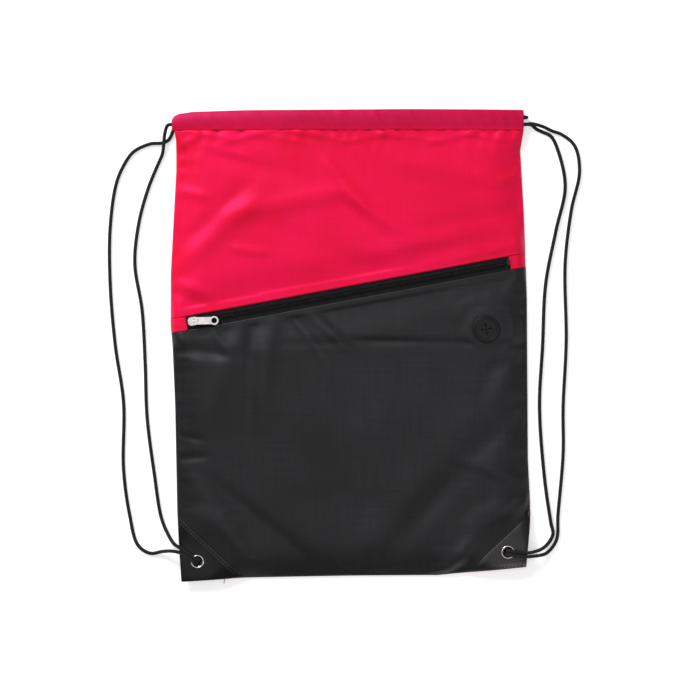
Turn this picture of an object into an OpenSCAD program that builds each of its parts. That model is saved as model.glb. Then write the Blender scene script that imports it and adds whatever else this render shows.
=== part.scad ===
// Drawstring backpack with a slanted zip pocket, laid on its back.
// +Z is the front of the bag, +Y points to its mouth. Millimetres.

/* [Bag] */
// Width of the bag at its widest
bag_w = 350; // [340:1:360]
// Height of the bag, mouth to bottom seam
bag_h = 458; // [448:1:468]
// Height of the front cloth over the floor where the bag is fullest
loft = 12.6; // [11.5:0.1:14]
// Thickness of the outer cloth
cloth_t = 0.6; // [0.4:0.1:0.6]
// Thickness of the pocket lining
lining_t = 0.4; // [0.2:0.1:0.4]
// Depth of the drawstring tunnels at the mouth
hem_d = 20; // [19:0.5:22]

/* [Zip] */
// Slope of the zip across the front
zip_tilt = 10.6; // [8:0.1:12]
// Length of the zip between its end tabs
zip_len = 319; // [318:1:320]
// Height of the tapes over the floor
zip_z = 8; // [7.8:0.1:8]
// Length of the slider
slider_l = 10; // [9:0.1:10]
// Width of the slider
slider_w = 8; // [7.5:0.1:9]
// Hole in the free end of the pull tab
pull_hole_d = 5.5; // [4:0.1:6]

/* [Corners] */
// Outside of the eyelet flange
eyelet_d = 13; // [11:0.5:13]
// Hole through the eyelet
eyelet_hole_d = 8; // [7.5:0.1:8]
// How far the knots hold the bottom corners off the floor
corner_lift = 8.6; // [8.4:0.1:9.5]

/* [Earbud port] */
// Outside of the rubber ring
port_d = 26; // [24:1:28]
// Side of the square that the cross slit opens
slit_side = 8.5; // [7:0.1:9]

/* [Cord] */
// Diameter of the braided cord
cord_d = 3; // [2.5:0.1:3]

/* [Hidden] */
RED = [0.90, 0.10, 0.24];
BLACK = [0.16, 0.16, 0.17];
VINYL = [0.08, 0.08, 0.09];
LINING = [0.24, 0.24, 0.26];
NICKEL = [0.80, 0.80, 0.82];
TAPE = [0.05, 0.05, 0.06];

// The outline is drawn for a bag of this size and stretched to the size asked for.
DRAWN_W = 350;
DRAWN_H = 458;
DRAWN_HEM = 20;
wide = bag_w / DRAWN_W;
high = bag_h / DRAWN_H;

// Outline as cut and sewn: [y, x] for the sides and [x, y] for the bottom.
LEFT_SIDE = [[-229, -164], [-160, -168.5], [-60, -170.5], [0, -173], [20, -175], [70, -175],
    [105, -173], [170, -169.5], [200, -169.5], [209, -171]];
RIGHT_SIDE = [[-214, 170.5], [-170, 175], [-150, 175], [-110, 172.5], [45, 171.5], [130, 168.5],
    [190, 165], [209, 168]];
BOTTOM = [[-164, -229], [-108, -225.5], [0, -223.5], [85, -223], [120, -219.5], [171, -214.5]];
TUNNEL_TOP = [[-172, 222], [-162, 227], [-100, 229], [168, 229]];

// Distances from the side seams and from the bottom seam at which the cloth is shaped.
INSETS = [0, 5, 12, 20, 30, 42, 60, 90, 125];
RISERS = [0, 5, 12, 20, 30, 42, 60, 90];
LAST = 2 * len(INSETS) - 1;

stitch_y = 209 * high;
layer_gap = 0.1;
seam_t = 0.5;
seam_z = cloth_t + layer_gap;
lining_z = seam_z + seam_t + layer_gap;
front_z = lining_z + lining_t + layer_gap;
patch_z = front_z + cloth_t + layer_gap;
patch_t = 0.6;

zip_mid = [-2 * wide, 52 * high];
tape_t = 0.5;
tape_w = 12;
tape_tail = 2;
coil_gap = 0.45;
coil_w = 2.45;
coil_h = 1.9;
coil_z = zip_z + tape_t;
zip_from = -160 * wide;
zip_to = zip_from + zip_len * wide;
zip_above = 5.7;
zip_below = 7.5;
stop_l = 1.4;
bottom_stop_l = 2.5;
stop_gap = 0.2;
top_stops_at = zip_from + 0.1;
bottom_stop_at = zip_to - stop_gap - bottom_stop_l;
lining_drop = 1.8;
pocket_floor_z = zip_z - lining_drop;

eyelet_left = [-148.4 * wide, -209 * high];
eyelet_right = [152.4 * wide, -200 * high];
eyelet_wall = 0.5;
barrel_r = eyelet_hole_d / 2 + eyelet_wall;
eyelet_flange_t = 0.7;
eyelet_z = corner_lift + patch_z + patch_t + layer_gap;
washer_t = 0.6;
washer_z = corner_lift - layer_gap - patch_t - layer_gap - washer_t;
lift_flat = 9;
lift_reach = 50;

port = [131.4 * wide, 16.2 * high];
port_seat_z = loft - 0.2;
port_z = port_seat_z + cloth_t + 0.3;
port_disc_d = 18.5;
port_rim_t = 1.1;
port_disc_t = 0.8;
slit_gap = 0.15;
// Cut off the ends of each flap's hinge side, so that neighbours pass as they fold in.
flap_trim = 0.75;
slit_turn = 10;

tunnel_half = 2.2;
tunnel_wall = 0.5;
tunnel_rise = loft - 7;
STATIONS = [-172, -160, -120, -60, 0, 60, 120, 160, 168];

function smooth(t) = let (c = max(0, min(1, t))) c * c * (3 - 2 * c);
function bulge(t) = let (c = max(0, min(1, t))) 1 - (1 - c) ^ 2.5;
function unit(v) = v / norm(v);

function left_x(y) = wide * lookup(y / high, LEFT_SIDE);
function right_x(y) = wide * lookup(y / high, RIGHT_SIDE);
function bottom_y(x) = high * lookup(x / wide, BOTTOM);

// Distance of a place from the zip's centre line, positive towards the mouth.
function zip_off(x, y) = (y - zip_mid.y) * cos(zip_tilt) - (x - zip_mid.x) * sin(zip_tilt);
function zip_line(x, off) = zip_mid.y + (x - zip_mid.x) * tan(zip_tilt) + off / cos(zip_tilt);
function from_eyelet(x, y) = min(norm([x, y] - eyelet_left), norm([x, y] - eyelet_right));
function from_seam(x, y) = max(0, min(x - left_x(y), right_x(y) - x, y - bottom_y(x)));

// The corners stand on the knots, and the cloth between them lies on the floor.
function lift(x, y) =
    let (away = min(1, max(0, from_eyelet(x, y) - lift_flat) / lift_reach))
    corner_lift * (1 - away ^ 2) ^ 2;

// How far the front has risen from the seams: 0 at a seam, 1 where the bag is full.
function puff(x, y) =
    let (reach = 12 + 28 * smooth((abs(zip_off(x, y)) - 10) / 40))
    bulge(from_seam(x, y) / reach) * smooth((from_eyelet(x, y) - 10) / 40);

// Middle height of the front tunnel, which bows away from the back one so that the mouth gapes.
function tunnel_mid(x) = 3 * tunnel_half + 0.4 + tunnel_rise * (1 - (abs(x / wide) / 172) ^ 4);

function back_under(x, y) = lift(x, y);
function back_patch_under(x, y) = lift(x, y) - layer_gap - patch_t;
function seam_under(x, y) = lift(x, y) + seam_z;
function lining_under(x, y) =
    let (full = pocket_floor_z + 1.1 * smooth((zip_off(x, y) - 5.8) / 5))
    lift(x, y) + lining_z + (full - lining_z) * puff(x, y);
function front_under(x, y) =
    let (
        valley = coil_z + 0.2,
        full = valley + (loft - valley) * smooth((abs(zip_off(x, y)) - 9) / 35),
        open = lift(x, y) + front_z + (full - front_z) * puff(x, y),
        hemmed = tunnel_mid(x) - cloth_t / 2,
        draped = open + (hemmed - open) * smooth((y - 185 * high) / (24 * high))
    )
    port_seat_z + (draped - port_seat_z) * smooth((norm([x, y] - port) - 22) / 16);
function front_patch_under(x, y) = front_under(x, y) + cloth_t + layer_gap;

// Place of one grid point: column k of the outline, on the row that f draws across the bag.
function column(k, y) =
    k < len(INSETS) ? left_x(y) + INSETS[k] : right_x(y) - INSETS[LAST - k];
function spot(k, f) =
    let (
        x0 = k < len(INSETS) ? INSETS[k] - bag_w / 2 : bag_w / 2 - INSETS[LAST - k],
        x1 = column(k, f(x0)),
        x2 = column(k, f(x1))
    )
    [x2, f(x2)];
function rows_between(low, top, n, first) =
    [for (i = [first:n]) function (x) low(x) + (top(x) - low(x)) * i / n];

function lowest_row(x) = bottom_y(x) + RISERS[len(RISERS) - 1];
low_rows = [for (d = RISERS) function (x) bottom_y(x) + d];
back_rows = concat(low_rows,
    rows_between(function (x) lowest_row(x), function (x) stitch_y, 9, 1));
pocket_rows = concat(low_rows,
    rows_between(function (x) lowest_row(x), function (x) zip_line(x, -zip_below), 6, 1));
lining_rows = concat(low_rows,
    rows_between(function (x) lowest_row(x), function (x) zip_line(x, -8), 6, 1),
    [function (x) zip_line(x, 5.8), function (x) zip_line(x, 11)]);
upper_rows =
    rows_between(function (x) zip_line(x, zip_above), function (x) stitch_y, 9, 0);
side_rows = concat(low_rows,
    rows_between(function (x) lowest_row(x), function (x) 195 * high, 6, 1));

function tri2(a, b, c, d) = [[a, b, c], [a, c, d]];

// Cloth of thickness t over a grid of plan points, on a surface of height under(x, y).
module cloth(grid, under, t) {
    nr = len(grid);
    nc = len(grid[0]);
    flat = [for (row = grid) each row];
    low = [for (p = flat) [p.x, p.y, under(p.x, p.y)]];
    top = [for (p = low) p + [0, 0, t]];
    n = len(low);
    skin = [for (i = [0:nr - 2], j = [0:nc - 2]) let (a = i * nc + j, b = a + nc) each concat(
        tri2(n + a, n + b, n + b + 1, n + a + 1),
        tri2(a, a + 1, b + 1, b))];
    ends = [for (j = [0:nc - 2]) let (a = j, b = (nr - 1) * nc + j) each concat(
        tri2(a, n + a, n + a + 1, a + 1),
        tri2(b, b + 1, n + b + 1, n + b))];
    sides = [for (i = [0:nr - 2]) let (a = i * nc, b = a + nc, c = a + nc - 1, d = b + nc - 1)
        each concat(tri2(b, n + b, n + a, a), tri2(c, n + c, n + d, d))];
    polyhedron(concat(low, top), concat(skin, ends, sides), convexity = 6);
}

module sheet(rows, columns, under, t) {
    cloth([for (f = rows) [for (k = columns) spot(k, f)]], under, t);
}

module at_eyelets() {
    translate([eyelet_left.x, eyelet_left.y, 0]) children();
    translate([eyelet_right.x, eyelet_right.y, 0]) children();
}

module eyelet_holes() {
    at_eyelets() cylinder(r = barrel_r + 0.1, h = 60, center = true, $fn = 48);
}

// Panels

module back_panel() {
    color(RED) difference() {
        sheet(back_rows, [0:LAST], function (x, y) back_under(x, y), cloth_t);
        eyelet_holes();
    }
}

module front_upper_panel() {
    color(RED) sheet(upper_rows, [0:LAST], function (x, y) front_under(x, y), cloth_t);
}

module front_pocket_panel() {
    color(BLACK) difference() {
        sheet(pocket_rows, [0:LAST], function (x, y) front_under(x, y), cloth_t);
        eyelet_holes();
        translate([port.x, port.y, 0]) cylinder(d = port_disc_d, h = 60, $fn = 64);
    }
}

module pocket_lining() {
    color(LINING) difference() {
        sheet(lining_rows, [0:LAST], function (x, y) lining_under(x, y), lining_t);
        eyelet_holes();
    }
}

module side_seam_left() {
    color(BLACK) sheet(side_rows, [0, 1], function (x, y) seam_under(x, y), seam_t);
}

module side_seam_right() {
    color(BLACK) sheet(side_rows, [LAST - 1, LAST], function (x, y) seam_under(x, y), seam_t);
}

module bottom_seam() {
    color(BLACK) sheet([low_rows[0], low_rows[1]], [1:LAST - 1],
        function (x, y) seam_under(x, y), seam_t);
}

// Drawstring tunnels

// A folded hem, open at both ends. mid(x) is the height of its middle.
module tunnel(mid) {
    slope = 2.5;
    function ring(x, inset, half) =
        let (
            y0 = stitch_y + 0.1 + inset,
            y1 = high * lookup(x, TUNNEL_TOP) + hem_d - DRAWN_HEM - inset,
            z = mid(x * wide)
        )
        [for (p = [[y0, 0], [y0 + slope, half], [y1 - slope, half],
            [y1, 0], [y1 - slope, -half], [y0 + slope, -half]]) [x * wide, p[0], z + p[1]]];
    outer = [for (x = STATIONS) each ring(x, 0, tunnel_half)];
    inner = [for (x = STATIONS) each ring(x, 0.8, tunnel_half - tunnel_wall)];
    n = len(outer);
    last = 6 * (len(STATIONS) - 1);
    skin = [for (s = [0:len(STATIONS) - 2], i = [0:5])
        let (a = 6 * s + i, b = 6 * s + (i + 1) % 6) each concat(
            tri2(a, b, b + 6, a + 6),
            tri2(n + a, n + a + 6, n + b + 6, n + b))];
    ends = [for (i = [0:5]) let (a = i, b = (i + 1) % 6, c = last + a, d = last + b) each concat(
        tri2(b, a, n + a, n + b),
        tri2(c, d, n + d, n + c))];
    polyhedron(concat(outer, inner), concat(skin, ends), convexity = 8);
}

// Notch in the facing walls of both tunnels, where the right cord turns back.
module turn_notch() {
    size = [9, 5.4, 3.6];
    translate([-169 * wide, 212.3 * high, 2 * tunnel_half - 1]) cube(size);
}

module back_drawstring_tunnel() {
    color(RED) difference() {
        tunnel(function (x) tunnel_half);
        turn_notch();
    }
}

module front_drawstring_tunnel() {
    color(RED) difference() {
        tunnel(function (x) tunnel_mid(x));
        turn_notch();
    }
}

// Zip

module in_zip(z) {
    translate([zip_mid.x, zip_mid.y, z]) rotate([0, 0, zip_tilt]) children();
}

function zip_place(along, off) =
    zip_mid + [along * cos(zip_tilt) - off * sin(zip_tilt), along * sin(zip_tilt) + off * cos(zip_tilt)];

// Folded scrap of cloth from the end of the zip out to the side seam, which the zip meets at edge.
module end_tab(along, edge) {
    offs = [-zip_below + 0.1, -2, zip_above - 0.4];
    grid = [for (off = offs)
        let (inner = zip_place(along, off), y = zip_line(edge, off),
            outer = [edge < 0 ? left_x(y) : right_x(y), y], a = edge < 0 ? outer : inner,
            b = edge < 0 ? inner : outer)
        [for (t = [0, 0.3, 0.7, 1]) a + (b - a) * t]];
    cloth(grid, function (x, y) front_under(x, y), cloth_t);
}

module zip_end_tab_left() {
    color(RED) end_tab(zip_from, -175 * wide);
}

module zip_end_tab_right() {
    color(RED) end_tab(zip_to, 170 * wide);
}

module zip_tape(side) {
    in_zip(zip_z) mirror([0, side < 0 ? 1 : 0, 0])
        translate([zip_from - tape_tail, coil_gap, 0])
            cube([zip_to - zip_from + 2 * tape_tail, tape_w, tape_t]);
}

module zip_tape_upper() {
    color(TAPE) zip_tape(1);
}

module zip_tape_lower() {
    color(TAPE) zip_tape(-1);
}

module zip_coil(side) {
    bevel = 0.6;
    start = zip_from + stop_l + stop_gap;
    end = bottom_stop_at - stop_gap;
    in_zip(coil_z) mirror([0, side < 0 ? 1 : 0, 0])
        translate([start, coil_gap, 0]) rotate([90, 0, 90])
            linear_extrude(end - start) polygon([[0, 0], [coil_w, 0], [coil_w, coil_h - bevel],
                [coil_w - bevel, coil_h], [bevel, coil_h], [0, coil_h - bevel]]);
}

module zip_coil_upper() {
    color(TAPE) zip_coil(1);
}

module zip_coil_lower() {
    color(TAPE) zip_coil(-1);
}

module zip_top_stops() {
    color(TAPE) in_zip(coil_z) for (side = [0, 1]) mirror([0, side, 0])
        translate([top_stops_at, coil_gap, 0]) cube([stop_l, coil_w + 0.3, coil_h + 0.2]);
}

module zip_bottom_stop() {
    color(TAPE) in_zip(coil_z) translate([bottom_stop_at, -3, 0])
        cube([bottom_stop_l, 6, coil_h + 0.2]);
}

slider_at = zip_from + stop_l + 0.4 + slider_l / 2;
slider_r = 3.2;
slider_under_z = zip_z - 0.3;
slider_over_z = coil_z + coil_h + 0.3;
plate_t = 1;
lower_plate_t = 0.8;
crown_w = 1.6;
crown_half = 3.5;
crown_leg = 0.9;
crown_t = 1;
eye_r = 0.6;
pull_z = slider_over_z + plate_t + eye_r + 0.25;
pull_at = slider_at + 1.2;
pull_turn = -9.2;
pull_w = 7;
pull_reach = 19.4;
pull_head_d = 8.5;
eye_slot = 4.2;

module slider_plate(t) {
    linear_extrude(t) {
        square([slider_l - 2 * slider_r, slider_w], center = true);
        square([slider_l, slider_w - 2 * slider_r], center = true);
        for (x = [-1, 1], y = [-1, 1])
            translate([x * (slider_l / 2 - slider_r), y * (slider_w / 2 - slider_r)])
                circle(slider_r, $fn = 40);
    }
}

module zip_slider() {
    flange_w = 0.4;
    crown_at = pull_at - slider_at;
    crown_z = slider_over_z + plate_t;
    crown_h = 2 * (eye_r + 0.25) + crown_t;
    color(NICKEL) in_zip(0) translate([slider_at, 0, 0]) {
        translate([0, 0, slider_over_z]) slider_plate(plate_t);
        translate([0, 0, slider_under_z - lower_plate_t]) slider_plate(lower_plate_t);
        translate([-slider_l / 2 + 0.3, -0.25, slider_under_z - 0.2])
            cube([2.6, 0.5, slider_over_z - slider_under_z + 0.4]);
        for (y = [-slider_w / 2, slider_w / 2 - flange_w])
            translate([slider_r - slider_l / 2, y, slider_over_z - 1.6])
                cube([slider_l - 2 * slider_r, flange_w, 1.8]);
        translate([crown_at, 0, crown_z - 0.1]) difference() {
            translate([-crown_half, -crown_w / 2, 0]) cube([2 * crown_half, crown_w, crown_h + 0.1]);
            translate([-crown_half + crown_leg, -2, -1])
                cube([2 * (crown_half - crown_leg), 4, crown_h - crown_t + 1.1]);
        }
    }
}

module zip_pull_tab() {
    color(NICKEL) in_zip(pull_z) translate([pull_at, 0, 0]) rotate([0, 0, pull_turn]) {
        rotate([90, 0, 0]) cylinder(r = eye_r, h = pull_w, center = true, $fn = 32);
        translate([0, 0, -eye_r]) linear_extrude(2 * eye_r) difference() {
            union() {
                translate([0, -pull_w / 2]) square([pull_reach - 2, pull_w]);
                translate([pull_reach, 0]) circle(d = pull_head_d, $fn = 64);
            }
            translate([pull_reach, 0]) circle(d = pull_hole_d, $fn = 64);
            translate([-1, -1.7]) square([eye_slot + 1, 3.4]);
        }
    }
}

// Earbud port

module port_ring() {
    color(VINYL) translate([port.x, port.y, port_z]) difference() {
        rotate_extrude($fn = 96) polygon([[0, 0], [port_d / 2, 0],
            [port_d / 2, port_rim_t - 0.4], [port_d / 2 - 0.6, port_rim_t],
            [port_disc_d / 2 + 0.6, port_rim_t], [port_disc_d / 2, port_disc_t],
            [0, port_disc_t]]);
        rotate([0, 0, 45 + slit_turn]) cube([slit_side, slit_side, 10], center = true);
    }
}

// One of the four corners that the cross slit leaves, hinged on its outer edge.
module port_flap(i) {
    base = slit_side / 2 - slit_gap;
    color(VINYL) translate([port.x, port.y, port_z]) rotate([0, 0, 45 + slit_turn + 90 * i])
        linear_extrude(port_disc_t)
            polygon([[base, flap_trim - base], [base, base - flap_trim], [2.5 * slit_gap, 0]]);
}

module port_flap_1() {
    port_flap(0);
}

module port_flap_2() {
    port_flap(1);
}

module port_flap_3() {
    port_flap(2);
}

module port_flap_4() {
    port_flap(3);
}

// Corners

left_corner = [[-190, -143], [-82, -243], [-190, -243]];
right_corner = [[190, -147], [89, -243], [190, -243]];

module corner_patch(corner, columns, under) {
    color(VINYL) difference() {
        intersection() {
            sheet(low_rows, columns, under, patch_t);
            translate([0, 0, -30]) linear_extrude(90) polygon([for (p = corner) [p.x * wide, p.y * high]]);
        }
        eyelet_holes();
    }
}

module corner_patch_front_left() {
    corner_patch(left_corner, [0:7], function (x, y) front_patch_under(x, y));
}

module corner_patch_front_right() {
    corner_patch(right_corner, [LAST - 7:LAST], function (x, y) front_patch_under(x, y));
}

module corner_patch_back_left() {
    corner_patch(left_corner, [0:7], function (x, y) back_patch_under(x, y));
}

module corner_patch_back_right() {
    corner_patch(right_corner, [LAST - 7:LAST], function (x, y) back_patch_under(x, y));
}

module eyelet(at) {
    hole_r = eyelet_hole_d / 2;
    color(NICKEL) translate([at.x, at.y, 0]) rotate_extrude($fn = 96) polygon([
        [hole_r, washer_z], [barrel_r, washer_z], [barrel_r, eyelet_z], [eyelet_d / 2, eyelet_z],
        [eyelet_d / 2, eyelet_z + 0.3], [eyelet_d / 2 - 0.8, eyelet_z + eyelet_flange_t],
        [hole_r + 0.5, eyelet_z + eyelet_flange_t], [hole_r, eyelet_z + 0.3]]);
}

module eyelet_left_ring() {
    eyelet(eyelet_left);
}

module eyelet_right_ring() {
    eyelet(eyelet_right);
}

module eyelet_washer(at) {
    color(NICKEL) translate([at.x, at.y, washer_z]) difference() {
        cylinder(d = eyelet_d - 0.6, h = washer_t, $fn = 96);
        translate([0, 0, -1]) cylinder(r = barrel_r + 0.05, h = 4, $fn = 96);
    }
}

module eyelet_left_washer() {
    eyelet_washer(eyelet_left);
}

module eyelet_right_washer() {
    eyelet_washer(eyelet_right);
}

// Cords. Each cord runs from its knot up the side, through one tunnel, round the far end,
// back through the other tunnel and down to the same knot.

// Left cord, outer strand: out of the back tunnel and down to the left eyelet.
LEFT_OUTER = [[-175, 203.5, 2.2], [-177.5, 200, 1.8], [-183, 197.5, 1.5], [-195, 196.5, 1.5],
    [-211, 189, 1.5], [-220, 177, 1.5], [-228, 158, 1.5], [-234, 115, 1.5], [-234, 60, 1.5], [-229, 0, 1.5], [-221, -55, 1.5],
    [-221, -120, 1.5], [-215, -165, 1.5], [-207, -194, 1.5], [-195, -202, 1.5],
    [-183, -200, 5], [-173, -199, 11.6]];
// Left cord, inner strand: out of the front tunnel, over the outer strand.
LEFT_INNER = [[-177.5, 214, 7.2], [-180.5, 206, 5.6], [-181.5, 197, 5], [-183, 187, 2.5],
    [-187.5, 176.5, 1.5], [-197, 153, 1.5], [-206, 120, 1.5], [-210, 80, 1.5], [-203, 35, 1.5], [-200, -15, 1.5],
    [-198, -70, 1.5], [-191, -125, 1.5], [-184, -168, 1.5], [-177, -184, 5], [-171, -192, 11]];
// Right cord, outer strand: out of the front tunnel, over the inner strand.
RIGHT_OUTER = [[176, 215.5, 7.6], [187, 213, 5.2], [196, 209, 3.5], [205, 206, 1.5],
    [218, 195, 1.5], [223, 170, 1.5], [215, 132, 1.5], [209, 80, 1.5], [210, 5, 1.5],
    [207, -60, 1.5], [207, -105, 1.5], [202, -165, 1.5], [200.5, -189, 1.5], [191, -201.5, 3],
    [177, -204, 10.8]];
// Right cord, inner strand: out of the back tunnel.
RIGHT_INNER = [[176, 215, 2.2], [181, 211, 1.8], [187, 208, 1.5], [195, 204, 1.5], [202, 190, 1.5],
    [209, 155, 1.5], [200, 112, 1.5], [190, 60, 1.5], [187, 0, 1.5], [184, -60, 1.5],
    [189, -130, 1.5], [195, -172, 1.5], [197, -184, 1.5], [189, -195.5, 4], [177, -200, 10.8]];
// Over the corner patch, into the eyelet from the front and down to the knot.
LEFT_OUTER_LEAD = [[-165, -200.5, 12.6], [-157.5, -205, 14.6], [-151.2, -209.4, 14.7],
    [-149.3, -210.5, 12], [-149.3, -210.5, 7.3]];
LEFT_INNER_LEAD = [[-165, -196, 12.6], [-156, -202, 14.6], [-149.4, -206.6, 14.7],
    [-147.5, -207.7, 12], [-147.5, -207.7, 7.3]];
RIGHT_OUTER_LEAD = [[169.5, -204.2, 12.8], [160, -203.2, 14.8], [154.4, -202, 14.7],
    [152.4, -201.8, 12], [152.4, -201.8, 7.3]];
RIGHT_INNER_LEAD = [[169.5, -200.6, 12.8], [160, -199.8, 14.8], [154.4, -198.5, 14.7],
    [152.4, -198.3, 12], [152.4, -198.3, 7.3]];
// Through the tunnels at these places across the bag, one cord above the other in the hem.
LEFT_LANE = 222;
RIGHT_LANE = 215;
LANE_STOPS = [-160, -120, -60, 0, 60, 120, 160];

function tangents(p) =
    [for (i = [0:len(p) - 1]) unit(p[min(i + 1, len(p) - 1)] - p[max(i - 1, 0)])];
function carried(t, n, i) =
    concat([n], i == len(t) - 1 ? [] : carried(t, unit(n - t[i + 1] * (n * t[i + 1])), i + 1));

// Round cord through the points of a route, as one closed tube.
module cord(route) {
    sides = 8;
    p = [for (q = route) [q.x * wide, q.y * high, q.z]];
    t = tangents(p);
    first = unit(cross(t[0], [0.05, 0.1, 1]));
    normals = carried(t, first, 0);
    r = cord_d / 2;
    points = [for (i = [0:len(p) - 1]) let (u = normals[i], v = cross(t[i], u))
        each [for (a = [0:sides - 1]) p[i] + r * (cos(360 * a / sides) * u + sin(360 * a / sides) * v)]];
    skin = [for (i = [0:len(p) - 2], a = [0:sides - 1])
        let (b = (a + 1) % sides, here = i * sides, next = here + sides)
        each tri2(here + a, next + a, next + b, here + b)];
    end = (len(p) - 1) * sides;
    caps = [[for (a = [0:sides - 1]) a], [for (a = [sides - 1:-1:0]) end + a]];
    polyhedron(points, concat(skin, caps), convexity = 6);
}

module left_strand_outer() {
    color(BLACK) cord(LEFT_OUTER);
}

module left_strand_inner() {
    color(BLACK) cord(LEFT_INNER);
}

module right_strand_outer() {
    color(BLACK) cord(RIGHT_OUTER);
}

module right_strand_inner() {
    color(BLACK) cord(RIGHT_INNER);
}

module left_cord_leads() {
    color(BLACK) {
        cord(LEFT_OUTER_LEAD);
        cord(LEFT_INNER_LEAD);
    }
}

module right_cord_leads() {
    color(BLACK) {
        cord(RIGHT_OUTER_LEAD);
        cord(RIGHT_INNER_LEAD);
    }
}

back_lane_z = tunnel_half;
function front_lane(lane, xs) = [for (x = xs) [x, lane, tunnel_mid(x * wide)]];

module left_cord_tunnel_run() {
    color(BLACK) cord(concat(
        [[-171, 215.5, 7.1], [-167, 219.5, 7.6]],
        front_lane(LEFT_LANE, LANE_STOPS),
        [[167, LEFT_LANE, 7.6], [170, LEFT_LANE, 6.8], [171.4, LEFT_LANE, 4.9],
            [170, LEFT_LANE, 2.8], [167, LEFT_LANE, back_lane_z], [-160, LEFT_LANE, back_lane_z],
            [-167, 218.5, back_lane_z], [-171, 213.5, back_lane_z]]));
}

module right_cord_tunnel_run() {
    stops = [for (i = [1:len(LANE_STOPS)]) LANE_STOPS[len(LANE_STOPS) - i]];
    color(BLACK) cord(concat(
        [[167.5, RIGHT_LANE, 7.5]],
        front_lane(RIGHT_LANE, stops),
        [[-163.4, RIGHT_LANE, 7.2], [-164.8, RIGHT_LANE, 5.2], [-163.4, RIGHT_LANE, 3.2],
            [-160, RIGHT_LANE, back_lane_z], [167.5, RIGHT_LANE, back_lane_z]]));
}

// Both ends of a cord tied together, too big to pull back through the eyelet.
module knot(at) {
    h = washer_z - 0.2;
    color(BLACK) translate([at.x, at.y, 0.05]) rotate_extrude($fn = 64) polygon([[0, 0], [3.2, 0],
        [4.9, 1.4], [5.5, h / 2], [4.9, h - 1.4], [3.2, h], [0, h]]);
}

module left_cord_knot() {
    knot(eyelet_left);
}

module right_cord_knot() {
    knot(eyelet_right);
}

back_panel();
front_upper_panel();
front_pocket_panel();
pocket_lining();
front_drawstring_tunnel();
back_drawstring_tunnel();
side_seam_left();
side_seam_right();
bottom_seam();
zip_end_tab_left();
zip_end_tab_right();
zip_tape_upper();
zip_tape_lower();
zip_coil_upper();
zip_coil_lower();
zip_top_stops();
zip_bottom_stop();
zip_slider();
zip_pull_tab();
port_ring();
port_flap_1();
port_flap_2();
port_flap_3();
port_flap_4();
corner_patch_front_left();
corner_patch_front_right();
corner_patch_back_left();
corner_patch_back_right();
eyelet_left_ring();
eyelet_right_ring();
eyelet_left_washer();
eyelet_right_washer();
left_strand_outer();
left_strand_inner();
right_strand_outer();
right_strand_inner();
left_cord_leads();
right_cord_leads();
left_cord_tunnel_run();
right_cord_tunnel_run();
left_cord_knot();
right_cord_knot();
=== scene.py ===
"""Looks of the drawstring backpack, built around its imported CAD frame.

Metres. The bag lies on its back: +Z is the front, +Y points to the mouth.
"""

import math

import bmesh
import bpy
import numpy as np
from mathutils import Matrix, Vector
from mathutils.bvhtree import BVHTree


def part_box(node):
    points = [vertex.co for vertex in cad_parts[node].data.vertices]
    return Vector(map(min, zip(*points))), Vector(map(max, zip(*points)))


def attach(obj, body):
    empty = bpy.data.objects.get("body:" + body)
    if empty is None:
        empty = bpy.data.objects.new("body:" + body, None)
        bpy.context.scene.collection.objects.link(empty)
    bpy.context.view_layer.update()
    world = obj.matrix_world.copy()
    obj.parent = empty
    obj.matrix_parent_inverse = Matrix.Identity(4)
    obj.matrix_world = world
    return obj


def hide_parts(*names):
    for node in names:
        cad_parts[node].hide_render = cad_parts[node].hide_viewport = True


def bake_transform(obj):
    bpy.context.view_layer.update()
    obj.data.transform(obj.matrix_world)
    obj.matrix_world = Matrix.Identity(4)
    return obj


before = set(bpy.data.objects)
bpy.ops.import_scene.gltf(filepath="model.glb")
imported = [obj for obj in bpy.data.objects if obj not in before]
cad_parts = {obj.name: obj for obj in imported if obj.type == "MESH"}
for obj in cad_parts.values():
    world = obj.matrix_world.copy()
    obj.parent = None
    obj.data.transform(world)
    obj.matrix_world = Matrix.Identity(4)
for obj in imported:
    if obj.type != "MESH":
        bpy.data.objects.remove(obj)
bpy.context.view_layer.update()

# ---------------------------------------------------------------- sizes, from the frame

MM = 0.001
tunnel_low, tunnel_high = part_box("front_drawstring_tunnel")
STITCH_Y = tunnel_low.y
MOUTH_Y = tunnel_high.y
tape_low, tape_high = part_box("zip_tape_upper")
TAPE_TOP = tape_high.z
eyelet_boxes = {side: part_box(f"eyelet_{side}_ring") for side in ("left", "right")}
EYELETS = {side: (b[0] + b[1]) / 2 for side, b in eyelet_boxes.items()}
FLANGE_R = (eyelet_boxes["left"][1].x - eyelet_boxes["left"][0].x) / 2
port_low, port_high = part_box("port_ring")
PORT = (port_low + port_high) / 2
PORT_R = (port_high.x - port_low.x) / 2
KNOT_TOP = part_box("left_cord_knot")[1].z

ZIP_TILT = math.radians(10.6)
ZIP_MID = np.array([-2.0, 52.0]) * MM
ZIP_FROM, ZIP_TO = -160 * MM, 159 * MM
ZIP_ABOVE, ZIP_BELOW = 5.7 * MM, 7.5 * MM
CLOTH = 0.35 * MM
CORD_D = 3 * MM
CORD_R = 1.7 * MM

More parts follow.
